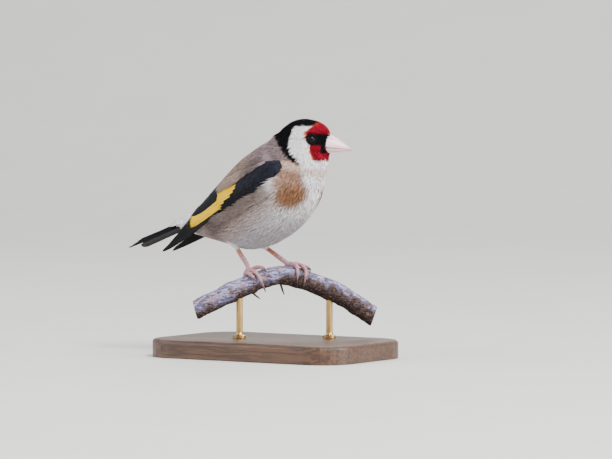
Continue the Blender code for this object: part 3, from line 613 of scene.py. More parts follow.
# %% Wings
# name, count, first root, last root, first tip, last tip, leading web, trailing web, lowest lift, point
TIERS = (
    ("primary", 9, (25, 1.6), (14, -3.0), (62, 2.0), (82.0, -0.5), 1.6, 2.4, 0.25, 0.45),
    ("secondary", 6, (26, 4.8), (22, -0.6), (55, 4.0), (61.5, 0.9), 1.9, 2.6, 1.25, 0.2),
    ("tertial", 3, (23, 6.4), (22, 4.8), (43, 7.2), (55.5, 4.0), 2.2, 2.4, 1.9, 0.35),
    ("primary_covert", 5, (15, -2.6), (11, -3.4), (32, -3.1), (37, -3.6), 1.5, 2.2, 1.2, 0.3),
    ("greater_covert", 9, (14, 4.6), (10, -3.2), (35, 5.0), (38, -2.2), 1.3, 2.2, 1.9, 0.2),
    ("median_covert", 8, (8, 3.4), (7, -3.6), (20, 3.6), (28, -4.6), 1.4, 2.0, 2.4, 0.3),
    ("lesser_covert_3", 8, (5, 3.0), (4, -3.2), (14, 3.6), (20, -4.6), 1.3, 1.6, 2.6, 0.35),
    ("lesser_covert_2", 7, (2, 2.2), (2, -2.6), (10, 3.2), (13.5, -4.2), 1.2, 1.5, 2.8, 0.4),
    ("lesser_covert_1", 6, (-0.6, 1.0), (-0.2, -1.6), (6, 2.2), (8.5, -3.4), 1.2, 1.4, 2.9, 0.45),
)
YELLOW_START = (
    (-2.4, -1.6, -0.9, -0.3, 0.3, 1.2, 2.4, 3.6, 5.0),
    (36.6, 35.5, 34.0, 31.0, 28.0, 25.6, 23.2, 23.2, 29.0),
)
# the step up from one feather of a tier to the next, and a distance that no feather reaches
LAYER, FAR = 0.12, 99


def wing_zones(tier, k, start, v):
    """Where a feather's yellow starts and ends and its white starts, measured from its root."""
    if tier == "greater_covert":
        return np.interp(v, *YELLOW_START) - start, FAR, FAR
    if tier == "secondary":
        return -1, 55.0 + 0.8 * k - start, FAR
    if tier == "primary" and k < 6:
        return -1, 60.0 - 3.0 * k - start, FAR
    return -1, -1, FAR


def wing(name, hand):
    """One folded wing. The feathers of a tier are laid from the lowest to the uppermost."""
    dice = np.random.default_rng(31)
    feathers = []
    for tier, count, root_a, root_b, tip_a, tip_b, lead, trail, lift, point in TIERS:
        for k in reversed(range(count)):
            share = k / (count - 1)
            root = np.array(root_a) * (1 - share) + np.array(root_b) * share
            tip = np.array(tip_a) * (1 - share) + np.array(tip_b) * share + (dice.uniform(-0.5, 0.5), 0)
            length = float(np.linalg.norm(tip - root))
            way = (tip - root) / length
            over = np.array((-way[1], way[0]))
            sag = dice.uniform(-0.8, -0.4) * length / 40 + (1.3 * share if tier == "primary" else 0)
            height = lift + (count - 1 - k) * LAYER

            def put(run, aside, rise):
                bow = sag * np.sin(math.pi * run / length)
                u = root[0] + way[0] * run + over[0] * (aside + bow)
                v = root[1] + way[1] * run + over[1] * (aside + bow)
                return wing_place(u, v, height * (0.55 + 0.45 * ease(run / length, 0, 0.4)) + rise, hand)

            zones = wing_zones(tier, k, root[0], (root[1] + tip[1] * 2) / 3)
            rows = int(12 + length * 0.45)
            feathers.append(feather(tier, put, length, lead, trail, zones, dice, point, rows))
    return joined(name, feathers)


print(sum(tier[1] for tier in TIERS), "feathers in each wing")

# %% [markdown]
# One finish serves every flight feather. It is black with a painted blue sheen that grows towards the
# top, browner beneath, paler where the edges are worn, and golden and white where the feather's notes
# say so. The barbs are a noise stretched along their slant, and they also break up the edges of the yellow.

# %% Finish of the flight feathers
paper = Paper("flight_feathers", roughness=0.55, Specular_IOR_Level=0.12)
side, run, grain = split(paper.attribute("quill", "Vector"))
start, end, pale = split(paper.attribute("zone", "Vector"))
slant = run - abs(side) * 2.4
threads = paper.node("ShaderNodeCombineXYZ", None, {0: slant * 3.2, 1: side * 1.5, 2: grain * 90})
barbs = paper.noise(threads, 1.0, 3.0, 0.6)
patches = paper.noise(threads, 0.22, 2.0)
_, y, z = split(paper.place())
left = soft(y, -0.1, 0.1) * 2 - 1
# which way the surface faces, as its share to the bird's left and its share downwards
facing = paper.node("ShaderNodeNewGeometry", out=1)
inner, lower = [paper.vector("DOT_PRODUCT", {0: facing, 1: way}, out=1) for way in ((0, 1, 0), (0, 0, -1))]
beneath = soft((0 - inner * left).larger(lower), 0.45, 0.75)
# a painted blue sheen on the black, growing towards the top of the wing
painted_sheen = 0.3 + soft(z, 66, 84) * 0.7
black = mix(soft(barbs * 0.5 + patches * 0.5, 0.36, 0.7) * painted_sheen, ink(2, 2, 3), ink(36, 39, 54))
# pale worn edges, made stronger towards the top by the painted sheen
worn_and_sheen_edges = soft(abs(side), 0.66, 1.0) * (0.1 + patches * 0.8) * painted_sheen
black = mix(worn_and_sheen_edges, black, ink(66, 68, 86))
black = mix(beneath, black, mix(barbs, ink(15, 14, 15), ink(50, 45, 44)))
golden = shade(mix(patches, ink(234, 178, 0), ink(246, 206, 0)), 0.76 + barbs * 0.4)
wander = run + (barbs - 0.5) * 1.6 + (patches - 0.5) * 1.4
yellow = soft(wander - start, -0.5, 0.5) * (1 - soft(wander - end, -0.6, 0.6))
# the trailing web is black, and a dark line at the leading edge is painted shade between the feathers
beside = soft(side, 0.25, 0.5).larger(soft(0 - side, 0.8, 0.95) * 0.75)
yellow = yellow * (1 - beside * soft(0 - start, -0.5, 0.5)) * (1 - beneath)
colour = mix(yellow, black, golden)
colour = mix(soft(wander - pale, -0.4, 0.6) * 0.9, colour, ink(228, 222, 214))
spine = 1 - soft(abs(side), 0.03, 0.09)
colour = mix(spine * 0.8, colour, ink(16, 13, 13))
flight_material = paper.finish(colour, roughness=0.42 + barbs * 0.25, height=barbs, depth=0.06)

SIDES = ((-1, "right"), (1, "left"))
wings = {}
for hand, label in SIDES:
    wings[hand] = wing(f"wing_feathers_{label}", hand)
    dress(wings[hand], flight_material, "wing_feathers", f"wing_{label}")
    print(wings[hand].name, len(wings[hand].data.polygons), "faces")

# %% [markdown]
# Twelve tail feathers spread from one root. The middle pair lies on top and is the shortest, which
# makes the notch. They are black, with a narrow white tip.

# %% Tail
TAIL_ROOT, TAIL_SLOPE = np.array((-45.0, 0.0, 62.9)), math.radians(21.5)
TAIL_BACK = np.array((-math.cos(TAIL_SLOPE), 0.0, -math.sin(TAIL_SLOPE)))
TAIL_ABOVE = np.array((-math.sin(TAIL_SLOPE), 0.0, math.cos(TAIL_SLOPE)))
SIDEWAYS = np.array((0.0, 1.0, 0.0))


def tail():
    dice = np.random.default_rng(41)
    feathers = []
    for pair in reversed(range(6)):
        share = pair / 5
        for hand in (1, -1):
            length = 30.6 + 2.4 * share + 2.2 * share**4 + dice.uniform(-0.3, 0.3)

            def put(run, aside, rise):
                along = (run / length)[:, None]
                across = 0.7 + 1.9 * share + 2.1 * share * along**1.2 + 0.9 * along
                drop = 0.8 + 2.1 * share + 0.1 * (hand > 0) - 0.4 * along**2
                lean = 0.25 * share + 0.1
                place = TAIL_ROOT + TAIL_BACK * run[:, None] - TAIL_ABOVE * drop
                place = place + SIDEWAYS * hand * (across - aside[:, None])
                return place + TAIL_ABOVE * (rise + aside * lean)[:, None]

            zones = (-1, -1, length - 0.1 - 1.3 * (1 - share))
            feathers.append(feather("rectrix", put, length, 1.7, 2.9, zones, dice, tip=0.1, along=30))
    return joined("tail_feathers", feathers)


tail_piece = dress(tail(), flight_material, "tail_feathers", "tail")
print("tail", len(tail_piece.data.polygons), "faces")

# %% [markdown]
# Small feathers are far too many to model one by one. So one lock is a narrow wedge with three sides
# and a point, extruded from a triangle, and it is copied thousands of times into one mesh.

# %% One lock
def lock_template():
    """Points (across, up, row) and triangles of a wedge with four rows, the last of them a point."""
    bm = bmesh.new()
    bmesh.ops.create_circle(bm, cap_ends=True, segments=3, radius=1.0)
    for vert, (x, y) in zip(bm.verts, ((-1, 0), (1, 0), (0, 1))):
        vert.co = (x, y, 0)
    ring = list(bm.edges)
    for _ in range(3):
        made = bmesh.ops.extrude_edge_only(bm, edges=ring)["geom"]
        tops = [item for item in made if isinstance(item, bmesh.types.BMVert)]
        ring = [item for item in made if isinstance(item, bmesh.types.BMEdge)]
        bmesh.ops.translate(bm, verts=tops, vec=(0, 0, 1))
    bmesh.ops.pointmerge(bm, verts=tops, merge_co=(0, 0.3, 3))
    bmesh.ops.triangulate(bm, faces=bm.faces)
    bmesh.ops.recalc_face_normals(bm, faces=bm.faces)
    points = np.array([vert.co[:] for vert in bm.verts])
    facets = np.array([[vert.index for vert in face.verts] for face in bm.faces])
    bm.free()
    return points, facets


ROWS = np.array((0.0, 0.36, 0.72, 1.0))
TAPER = np.array((0.6, 1.0, 0.7, 0.2))
WEDGE, FACETS = lock_template()
ROW = np.rint(WEDGE[:, 2]).astype(int)
print("one lock", len(WEDGE), "points", len(FACETS), "triangles")

# %% [markdown]
# The copies are bent along the body by arrays: across, up and along the template become across, out
# of and along the bird. Every lock keeps one spot of the coat, which is where its colour is read, so
# that it has one colour, as the tip of a real feather does, a little lighter or darker than the next
# one's. It also gets a small patch of its own on the unwrapped map named OFBake.

# %% Copying the lock
LOCK_THICK, PATCH_SIZE = 0.3, 0.003
paper = Paper("feather_locks", roughness=0.8, Specular_IOR_Level=0.12)
grain, along = paper.attribute("grain"), paper.attribute("along")
spot = paper.attribute("spot", "Vector")
barb = paper.noise(paper.place(), 3.0, 2.0)
tone = (0.84 + grain * 0.24) * (0.84 + along * 0.22)
lock_material = paper.finish(shade(plumage_colour(paper, spot), tone), height=barb, depth=0.05)


def rows_of(place, start, length, heights=ROWS):
    """The four points along each lock. place(run, height) says where the points of one row lie."""
    return np.array([place(start + share * length, height) for share, height in zip(ROWS, heights)])


def locks(name, slot, line, out, wide, spot, root, dice):
    """Copies of the lock as one object.

    line and out hold four points along each lock and the ways out of the bird there. spot is where
    each reads its colour, and root is its place from 0 to 1 on the unwrapped skin."""
    count, size = len(wide), len(WEDGE)
    out, spot = np.broadcast_to(out, line.shape), np.broadcast_to(spot, line.shape[1:])
    half = unit(np.cross(out, np.gradient(line, axis=0))) * (wide[:, None] * TAPER[:, None, None] / 2)
    up = out * (wide[:, None] * TAPER[:, None, None] * LOCK_THICK)
    points = line[ROW] + half[ROW] * WEDGE[:, 0, None, None] + up[ROW] * WEDGE[:, 1, None, None]
    facets = (FACETS[None] + np.arange(count)[:, None, None] * size).reshape(-1, 3)
    mesh = bpy.data.meshes.new(name)
    mesh.vertices.add(count * size)
    mesh.vertices.foreach_set("co", (points.transpose(1, 0, 2) * MM).astype(np.float32).ravel())
    mesh.loops.add(facets.size)
    mesh.loops.foreach_set("vertex_index", facets.astype(np.int32).ravel())
    mesh.polygons.add(len(facets))
    mesh.polygons.foreach_set("loop_start", np.arange(0, facets.size, 3, dtype=np.int32))
    mesh.update(calc_edges=True)
    notes = (
        ("spot", "FLOAT_VECTOR", "vector", np.repeat(spot, size, 0)),
        ("grain", "FLOAT", "value", np.repeat(dice.random(count), size)),
        ("along", "FLOAT", "value", np.tile(ROWS[ROW], count)),
    )
    for key, kind, field, values in notes:
        layer = mesh.attributes.new(key, kind, "POINT")
        layer.data.foreach_set(field, values.astype(np.float32).ravel())
    patch = np.stack([WEDGE[:, 0] / 2 + 0.5, ROWS[ROW]], -1) * PATCH_SIZE
    uv = (np.clip(root, 0, 1)[:, None] * 0.99 + patch[None]).reshape(-1, 2)[facets.ravel()]
    mesh.uv_layers.new(name="OFBake").data.foreach_set("uv", uv.astype(np.float32).ravel())
    mesh.shade_smooth()
    return dress(shown(name, mesh), lock_material, slot)


print("steps in the finish of a lock", len(lock_material.node_tree.nodes))

# %% [markdown]
# On the body a lock's root is sunk in the skin and its tip stands a little clear, pointing back to
# the tail. Locks are rooted in staggered rows.

# %% Laying the coat on the body
SWAY, RING = 0.12, 49


def coat(name, slot, t, phi, length, wide, lift, dice):
    """Locks rooted on the body at each t and phi, pointing back with a little sway."""
    back, out, pace = body_axes(t, phi)
    sideways, swing = np.cross(out, back), dice.normal(0, SWAY, len(t))[:, None]

    def place(run, height):
        at = t - run / pace
        rise = np.where(height < 0, -COAT - 0.1, -0.35 + (0.35 + lift) * height)
        return body(at, phi) + body_axes(at, phi)[1] * rise[:, None] + sideways * swing * run[:, None]

    line = rows_of(place, 0, length, (-1.0, 0.15, 0.75, 1.0))
    ways = rows_of(lambda run, height: body_axes(t - run / pace, phi)[1], 0, length)
    run = 0.6 * length
    spot = body(t - run / pace, phi) + sideways * swing * run[:, None]
    root = np.stack([(phi / (2 * math.pi)) % 1, t / LAST], -1)
    return locks(name, slot, line, ways, wide, spot, root, dice)


def scatter(low, high, gap, dice):
    """Staggered places over the body from section low to high, about gap apart."""
    found_t, found_phi = [], []
    t, ring = low, np.linspace(0, 2 * math.pi, RING)
    while t < high:
        loop = body(np.full(RING, t), ring)
        girth = np.append(0, np.cumsum(np.linalg.norm(np.diff(loop, axis=0), axis=1)))
        count = max(6, int(girth[-1] / gap))
        share = (np.arange(count) + dice.random()) / count + dice.normal(0, 0.3, count) * gap / girth[-1]
        pace = body_axes(np.full(RING, t), ring)[2].mean()
        found_phi.append(np.interp(share % 1 * girth[-1], girth, ring))
        found_t.append(t + dice.normal(0, 0.3, count) * gap / pace)
        t += gap / pace
    return np.clip(np.concatenate(found_t), 0.05, LAST - 0.03), np.concatenate(found_phi)


print("places 1 mm apart on the breast", len(scatter(8.4, 10.6, 1.0, np.random.default_rng(0))[0]))

# %% [markdown]
# No feather grows in the eye or under the folded wing. A lock that starts near them would still cross
# them, so the locks ahead of the eye, at the front of the wing and under its rear edge are cut short.
# The coat is laid in seven tracts, from the finest feathers at the bill to the long ones of the belly.

# %% The coat's seven tracts
EYE_X, EYE_Z, EYE_RADIUS, EYE_DEPTH = 20.8, 98.3, 2.0, 1.25


def eye_view(points):
    """How far ahead of the eye and how far from it each place is, in side view."""
    head = turned(points, -HEAD_TURN)
    return head[:, 0] - EYE_X, np.hypot(head[:, 0] - EYE_X, head[:, 2] - EYE_Z)


def grows(t, phi):
    """True where feathers grow: not in the eye and not under the folded wing."""
    points = body(t, phi)
    u, v = wing_uv(points[:, 0], points[:, 2])
    low = np.interp(u, *LOW_EDGE) + 1.2 - 2.0 * ease(u, 34, 46)
    under = (u > 1.2) & (u < 57) & (t < 11) & (v < np.interp(u, *TOP_EDGE) - 1.0) & (v > low)
    return (eye_view(points)[1] > EYE_RADIUS) & ~under


def room(points):
    """How long a lock may be at each place, to leave the eye and the edges of the wing clear."""
    ahead, eye = eye_view(points)
    long = np.where((ahead > 0) & (eye < 6), np.maximum(eye - 1.8, 0.3), 9.0)
    u, v = wing_uv(points[:, 0], points[:, 2])
    below = np.interp(-v, np.negative(LOW_EDGE[1][:5]), LOW_EDGE[0][:5])
    above = np.interp(v, TOP_EDGE[1][:3], TOP_EDGE[0][:3])
    front = np.where(v < 0, below, above) + 0.9 - u
    beside = (v > LOW_EDGE[1][4]) & (v < TOP_EDGE[1][2])
    long = np.where(beside, np.minimum(long, np.maximum(front, 0.5)), long)
    rear = (np.interp(u, *LOW_EDGE) + 0.4 - 0.8 * ease(u, 34, 46) - v) / 0.35
    behind = (u > 34) & (u < 60) & (v < 0)
    return np.where(behind, np.minimum(long, np.maximum(rear, 1.0)), long)


# name, first section, last section, spacing, length, width, lift
TRACTS = (
    ("coat_face", 15.0, 18.0, 0.38, 1.4, 0.36, 0.08),
    ("coat_head", 12.4, 15.0, 0.48, 2.2, 0.42, 0.12),
    ("coat_neck", 10.6, 12.4, 0.56, 2.9, 0.44, 0.2),
    ("coat_breast", 8.4, 10.6, 0.70, 4.8, 0.55, 0.22),
    ("coat_shoulder", 6.4, 8.4, 0.72, 5.2, 0.55, 0.22),
    ("coat_belly", 4.0, 6.4, 0.74, 5.4, 0.55, 0.22),
    ("coat_vent", 0.2, 4.0, 0.72, 5.6, 0.55, 0.2),
)
total = 0
for seed, (name, low, high, gap, length, width, lift) in enumerate(TRACTS):
    dice = np.random.default_rng(seed)
    t, phi = scatter(low, high, gap, dice)
    kept = grows(t, phi)
    t, phi = t[kept], phi[kept]
    long = np.minimum(length * dice.uniform(0.75, 1.25, len(t)), room(body(t, phi)))
    wide = width * dice.uniform(0.7, 1.3, len(t))
    lift = lift * dice.uniform(0.4, 1.7, len(t))
    slot = "head_feathers" if low > 12 else "body_feathers"
    total += len(coat(name, slot, t, phi, long, wide, lift, dice).data.polygons)
print("coat on the body", total, "triangles")

# %% [markdown]
# The feathers of the shoulder and back hang over the upper edge of the wing, and those of the flank
# and breast stand over its lower edge, so the wing looks tucked in and not stuck on. They are the same
# locks, laid over whichever is further out, body or wing.

# %% Feathers over the edges of the wing
def over_wing(name, hand, u, v, slope, length, wide, lift, dice):
    """Locks that start at u and v of the wing's frame and run back, slope being their rise in v."""
    swing = slope + dice.normal(0, 0.09, len(u))

    def place(run, height):
        x, z = wing_xz(u + run, v + run * swing)
        far = np.maximum(reach(skin_tree, x, z, hand) + COAT, reach(wing_trees[hand], x, z, hand))
        return np.stack([x, hand * (far + height * lift), z], -1)

    line = rows_of(place, 0, length, (-0.6, 0.3, 0.8, 1.0))
    half = 0.5 if hand > 0 else 0.0
    root = np.stack([half + np.clip((u + 10) / 70, 0, 1) * 0.48, np.clip((v + 14) / 30, 0, 1)], -1)
    outward, spot = unit(np.array((0.0, hand, 0.35))), line[0] * 0.6 + line[3] * 0.4
    return locks(name, "body_feathers", line, outward, wide, spot, root, dice)


# name, how many, from u to u, edge, how far ahead it is read, which side of it and how far off,
# slope, and the least and most of length, width and lift
FRINGES = (
    ("scapulars", 2600, (3, 31), TOP_EDGE, 3, 1, (0.6, 4.8), -0.12, (3.5, 6.5), (0.4, 0.75), (0.2, 0.8)),
    ("flank", 2800, (1, 42), LOW_EDGE, 5, -1, (0.3, 4.2), 0.14, (3.0, 6.5), (0.3, 0.65), (0.1, 0.5)),
)
wing_trees = {hand: tree_of(wings[hand]) for hand in wings}
for hand, label in SIDES:
    dice = np.random.default_rng(60)
    for name, count, span, edge, ahead, above, off, slope, *ranges in FRINGES:
        u = dice.uniform(*span, count)
        v = np.interp(u + ahead, *edge) + above * dice.uniform(*off, count)
        length, wide, lift = [dice.uniform(*each, count) for each in ranges]
        over_wing(f"{name}_{label}", hand, u, v, slope, length, wide, lift, dice)
        print(name, label, count)

# %% [markdown]
# White coverts lie over the tail's root. They are the same locks again, laid in the tail's own frame:
# back along it, sideways and up from it.

# %% Tail coverts
COVERTS = 900
dice = np.random.default_rng(70)
start, aside = dice.uniform(-4, 5, COVERTS), dice.uniform(-4.4, 4.4, COVERTS)
length = dice.uniform(4.5, 7.5, COVERTS)


def covert_place(run, height):
    rise = 0.4 + height - 0.75 * np.maximum(np.abs(aside) - 0.5, 0)
    place = TAIL_ROOT + TAIL_BACK * run[:, None] + TAIL_ABOVE * rise[:, None]
    return place + SIDEWAYS * (aside * (1 + 0.02 * run))[:, None]


line = rows_of(covert_place, start, length, (-0.9, 0.1, 0.45, 0.6))
root = np.stack([aside / 9 + 0.5, (start + 4) / 9], -1)
wide, white_spot = dice.uniform(0.4, 0.7, COVERTS), (-50.0, 0.0, 60.0)
locks("tail_coverts", "body_feathers", line, TAIL_ABOVE, wide, white_spot, root, dice)
print("tail coverts", COVERTS)

# %% [markdown]
# A finch's bill is a short cone split by the mouth line. Each half is a grid rolled round the same
# few sections, arched outside and flat where the halves meet. The nostril is pressed into it.

# %% Bill
# x, ridge z, mouth z, underside z, half width, with the head straight
BILL = np.array([
    (23.6, 101.0, 94.7, 92.2, 4.2), (25.8, 101.0, 94.6, 92.0, 4.35), (27.7, 100.2, 94.4, 92.0, 3.85),
    (30.5, 98.5, 94.15, 92.2, 2.9), (33.0, 96.85, 93.95, 92.5, 2.05), (35.2, 95.3, 93.7, 92.85, 1.2),
    (36.6, 94.15, 93.5, 93.1, 0.5), (37.4, 93.7, 93.42, 93.22, 0.16),
])
NOSTRIL = (28.2, 98.5)
# the share of a half's round that arches, before the flat mouth
ARCH = 0.72


def bill_half(name, upper):
    """The upper or the lower half of the bill, closed along the mouth."""
    def place(u, v):
        x, ridge, mouth, under, wide = np.moveaxis(through(BILL, v * (len(BILL) - 1)), -1, 0)
        outer = ridge if upper else under
        mouth = mouth + (0.06 if upper else -0.06)
        wide = wide * (1.0 if upper else 0.9)
        turn = math.pi * np.clip(u / ARCH, 0, 1)
        arch = np.sin(turn) ** 0.9
        flat = np.clip((u - ARCH) / (1 - ARCH), 0, 1)
        y = np.where(u < ARCH, wide * np.cos(turn), wide * (flat * 2 - 1))
        z = np.where(u < ARCH, mouth + (outer - mouth) * arch, mouth)
        if upper:
            y = y * (1 - 0.22 * np.exp(-oval(x, z, NOSTRIL, (0.5, 0.32))))
        return turned(np.stack([x, y, z], -1), HEAD_TURN)

    return lattice(name, 64, 72, place, roll=True)


paper = Paper("bill_horn", roughness=0.32, Subsurface_Weight=0.12, Subsurface_Scale=0.001)
place = swung(paper.place(), -HEAD_TURN, PIVOT_X)
x, _, z = split(place)
fibre = paper.noise(stretch(place, 0.25, 2.0, 2.0), 1.4, 4.0, 0.6)
horn = mix(soft(fibre, 0.3, 0.75), ink(238, 200, 208), ink(252, 226, 236))
rosy = (1 - soft(abs(z - 94.0 + (x - 27) * 0.08), 0.4, 2.4)) * 0.7
horn = mix(rosy, horn, ink(226, 172, 168))
horn = mix(soft(x, 34.5, 37.5) * 0.6, horn, ink(120, 96, 92))
# painted shade in the nostril's hollow
nostril_shade = oval(x, z, NOSTRIL, (0.55, 0.36))
horn = mix((1 - soft(nostril_shade, 0.4, 1.1)) * 0.5, horn, ink(120, 80, 78))
bill_material = paper.finish(horn, roughness=0.26 + fibre * 0.16, height=fibre, depth=0.03)
dress(bill_half("bill_horn_upper", True), bill_material, "bill", "bill_upper")
dress(bill_half("bill_horn_lower", False), bill_material, "bill", "bill_lower")

# %% [markdown]
# Short bristly feathers grow forwards over the base of the bill and hide where the horn ends. They
# are the same locks, laid along the bill's own sections from inside the feathers of the face.

# %% Bristles round the bill
BRISTLES = 460
dice = np.random.default_rng(72)
angle = dice.uniform(0, 2 * math.pi, BRISTLES)
start = 23.9 + 1.8 * np.sin(angle) + dice.uniform(-0.6, 0.6, BRISTLES)
length = dice.uniform(1.3, 2.4, BRISTLES)


def bristle_place(run, height):
    ridge, mouth, under, wide = [np.interp(run, BILL[:, 0], BILL[:, k]) for k in (1, 2, 3, 4)]
    tall = np.where(angle < math.pi, ridge - mouth + height, under - mouth - height)
    z = mouth + tall * np.abs(np.sin(angle)) ** 0.9
    return np.stack([run, (wide + height) * np.cos(angle), z], -1)


line = rows_of(bristle_place, start, length, (-0.3, 0.12, 0.22, 0.3))
ways = np.stack([np.full(BRISTLES, 0.2), np.cos(angle), np.sin(angle)], -1)
ways = unit(turned(line + ways, HEAD_TURN) - turned(line, HEAD_TURN))
spot = turned(line[0] - (0.6, 0, 0), HEAD_TURN)
root = np.stack([angle / (2 * math.pi), 0.97 + (start - 21.5) * 0.004], -1)
wide = dice.uniform(0.16, 0.3, BRISTLES)
locks("bristles", "head_feathers", turned(line, HEAD_TURN), ways, wide, spot, root, dice)
print("bristles", BRISTLES)

# %% [markdown]
# The eye is a dark glossy ball set well into the head, with the bare rim of the lids round it. The
# rim is a small circle spun all the way round the eye's own axis.

# %% Eyes
paper = Paper("eye_gloss", roughness=0.06, Specular_IOR_Level=0.16)
cloud = paper.noise(paper.place(), 0.9, 2.0)
eye_material = paper.finish(mix(cloud, ink(3, 2, 2), ink(14, 8, 6)))
paper = Paper("lid_skin", roughness=0.8, Specular_IOR_Level=0.1)
crease = paper.noise(paper.place(), 4.0, 3.0, 0.6)
lid_material = paper.finish(mix(crease, ink(4, 4, 5), ink(20, 18, 20)), height=crease, depth=0.08)
# how thick the rim of the lids is, and how far it lies under the feathers round it
LID, SUNK = 0.34, 0.35


def ball(name, centre, radius):
    bm = bmesh.new()
    bmesh.ops.create_uvsphere(bm, u_segments=40, v_segments=28, radius=radius * MM)
    bmesh.ops.translate(bm, verts=bm.verts, vec=Vector(centre) * MM)
    return piece_of(name, bm)


def lid(name, centre, axis, ring):
    bm = bmesh.new()
    circle = bmesh.ops.create_circle(bm, segments=12, radius=LID * MM)["verts"]
    turn = axis.to_track_quat("Z", "Y").to_matrix()
    sideways = turn @ Vector((1, 0, 0))
    for vert in circle:
        vert.co = (centre + sideways * ring) * MM + sideways * vert.co.x + axis * vert.co.y
    bmesh.ops.spin(
        bm, geom=bm.verts[:] + bm.edges[:], cent=centre * MM, axis=axis, angle=2 * math.pi, steps=48,
        use_merge=True, dvec=(0, 0, 0),
    )
    bmesh.ops.remove_doubles(bm, verts=bm.verts, dist=MERGE)
    bmesh.ops.recalc_face_normals(bm, faces=bm.faces)
    return piece_of(name, bm)


for hand, label in SIDES:
    turn = Matrix.Rotation(HEAD_TURN, 3, "Z")
    pivot = Vector((PIVOT_X, 0, 0))
    start = turn @ (Vector((EYE_X, hand * 40, EYE_Z)) - pivot) + pivot
    hit, normal = skin_tree.ray_cast(start * MM, turn @ Vector((0, -hand, 0)))[:2]
    surface = hit / MM + normal * COAT
    eye = ball(f"eyeball_{label}", surface - normal * EYE_DEPTH, EYE_RADIUS)
    dress(eye, eye_material, "eye", f"eye_{label}")
    ring = math.sqrt(EYE_RADIUS**2 - (EYE_DEPTH - SUNK) ** 2) + LID * 0.55
    dress(lid(f"lid_{label}", surface - normal * SUNK, normal, ring), lid_material, "eye")
    print("eye", label, [round(v, 1) for v in surface])

# %% [markdown]
# The perch is a cut length of branch, and the toes have to lie on it. So it gets a frame of its own:
# a distance along it, and an angle from its top towards the camera's side. A row of the table gives
# the height of the branch's middle and its radius at one distance.

# %% The perch's own frame
PERCH_TURN = math.radians(33)
PERCH_ALONG = np.array((math.cos(PERCH_TURN), math.sin(PERCH_TURN), 0.0))
PERCH_NEAR = np.array((math.sin(PERCH_TURN), -math.cos(PERCH_TURN), 0.0))
PERCH_ZERO, UPWARDS = np.array((-2.4, 0.0, 0.0)), np.array((0.0, 0.0, 1.0))
# distance along it from its zero, height of its middle, radius
PERCH_ROWS = np.array([
    (-34, 20.8, 4.3), (-29, 23.5, 4.5), (-22.8, 26.4, 4.3), (-18, 28.9, 4.9), (-13.8, 30.7, 4.5),
    (-9, 33.0, 4.3), (-4.8, 34.5, 4.4), (0, 36.0, 4.3), (4.2, 36.6, 4.3), (9, 36.2, 4.6),
    (13.2, 35.3, 4.8), (18, 33.5, 4.5), (22.2, 31.9, 4.6), (27, 29.9, 5.0), (31.2, 28.0, 4.7),
    (36, 25.0, 4.5), (40.2, 22.3, 4.6), (46.5, 17.9, 4.5),
])


def perch_line(distance):
    """The middle of the branch and its radius."""
    height = np.interp(distance, PERCH_ROWS[:, 0], PERCH_ROWS[:, 1])
    radius = np.interp(distance, PERCH_ROWS[:, 0], PERCH_ROWS[:, 2])
    distance = np.asarray(distance, float)[..., None]
    return PERCH_ZERO + PERCH_ALONG * distance + UPWARDS * height[..., None], radius


def perch_out(distance, angle):
    """The way out of the branch, at an angle in degrees from its top towards the camera's side."""
    distance, angle = np.broadcast_arrays(np.asarray(distance, float), np.radians(np.asarray(angle, float)))
    ahead = unit(perch_line(distance + 1.0)[0] - perch_line(distance - 1.0)[0])
    top = unit(np.cross(PERCH_NEAR, ahead))
    top = top * np.sign(top[..., 2:])
    return top * np.cos(angle)[..., None] + PERCH_NEAR * np.sin(angle)[..., None]


def on_perch(distance, angle, lift):
    middle, radius = perch_line(distance)
    return middle + perch_out(distance, angle) * (radius + lift)[..., None]


print("top of the perch", [round(float(v), 1) for v in on_perch(np.array([0.0]), 0.0, 0.0)[0]])

# %% [markdown]
# Rough noise pushes the branch's grid in and out. Knots and an old scar are bumps with a hollow,
# given by distance, angle, size and height. The first and last rows of the grid run in to the middle
# of the branch, and that makes the cut ends.

# %% Perch
FIRST, FINAL, CUT = -34.0, 46.5, 0.035
# distance, angle, size, height
KNOTS = (
    (-18.2, 108, 2.6, 0.7), (-9.2, 160, 1.8, 0.9), (30.0, 75, 2.2, 0.45), (9.0, 120, 3.0, -0.35),
    (20.0, -60, 2.4, 0.6),
)


def perch_shape(u, v):
    """Distance, angle, and how far from the branch's middle, from 0 to 1 in the cut ends."""
    inner = np.minimum(v / CUT, (1 - v) / CUT).clip(0, 1)
    distance = FIRST + (FINAL - FIRST) * np.clip((v - CUT) / (1 - 2 * CUT), 0, 1)
    return distance, u * 360.0, inner


def perch_place(u, v):
    distance, angle, inner = perch_shape(u, v)
    middle, radius = perch_line(distance)
    out = perch_out(distance, angle)
    rough = np.zeros(len(u))
    for k, (point, d) in enumerate(zip(middle + out * radius[:, None], distance)):
        along = Vector((d * 0.22, point[1] * 0.55, point[2] * 0.55))
        rough[k] = fractal(along, 0.9, 2.1, 4) * 0.34 + abs(noise(Vector(point) * 1.3)) * -0.22
    for place, turn, size, height in KNOTS:
        gap = np.hypot(distance - place, np.radians((angle - turn + 180) % 360 - 180) * radius) / size
        rough += height * (np.exp(-(gap**2)) - 0.55 * np.exp(-((gap * 2.6) ** 2)))
    rough = np.where(np.abs(angle - 180) > 80, rough * 0.45, rough) - 0.12
    edge = 1 - 0.06 * (inner > 0.97) * ((v < CUT * 1.05) | (v > 1 - CUT * 1.05))
    shape = np.where(inner < 1, inner * 0.995 * (radius + rough), (radius + rough) * edge)
    return middle + out * np.maximum(shape, 0.02)[:, None]


def perch_note(u, v):
    distance, angle, inner = perch_shape(u, v)
    return inner, np.cos(np.radians(angle)), distance


print("perch from", FIRST, "to", FINAL, "mm with", len(KNOTS), "knots")
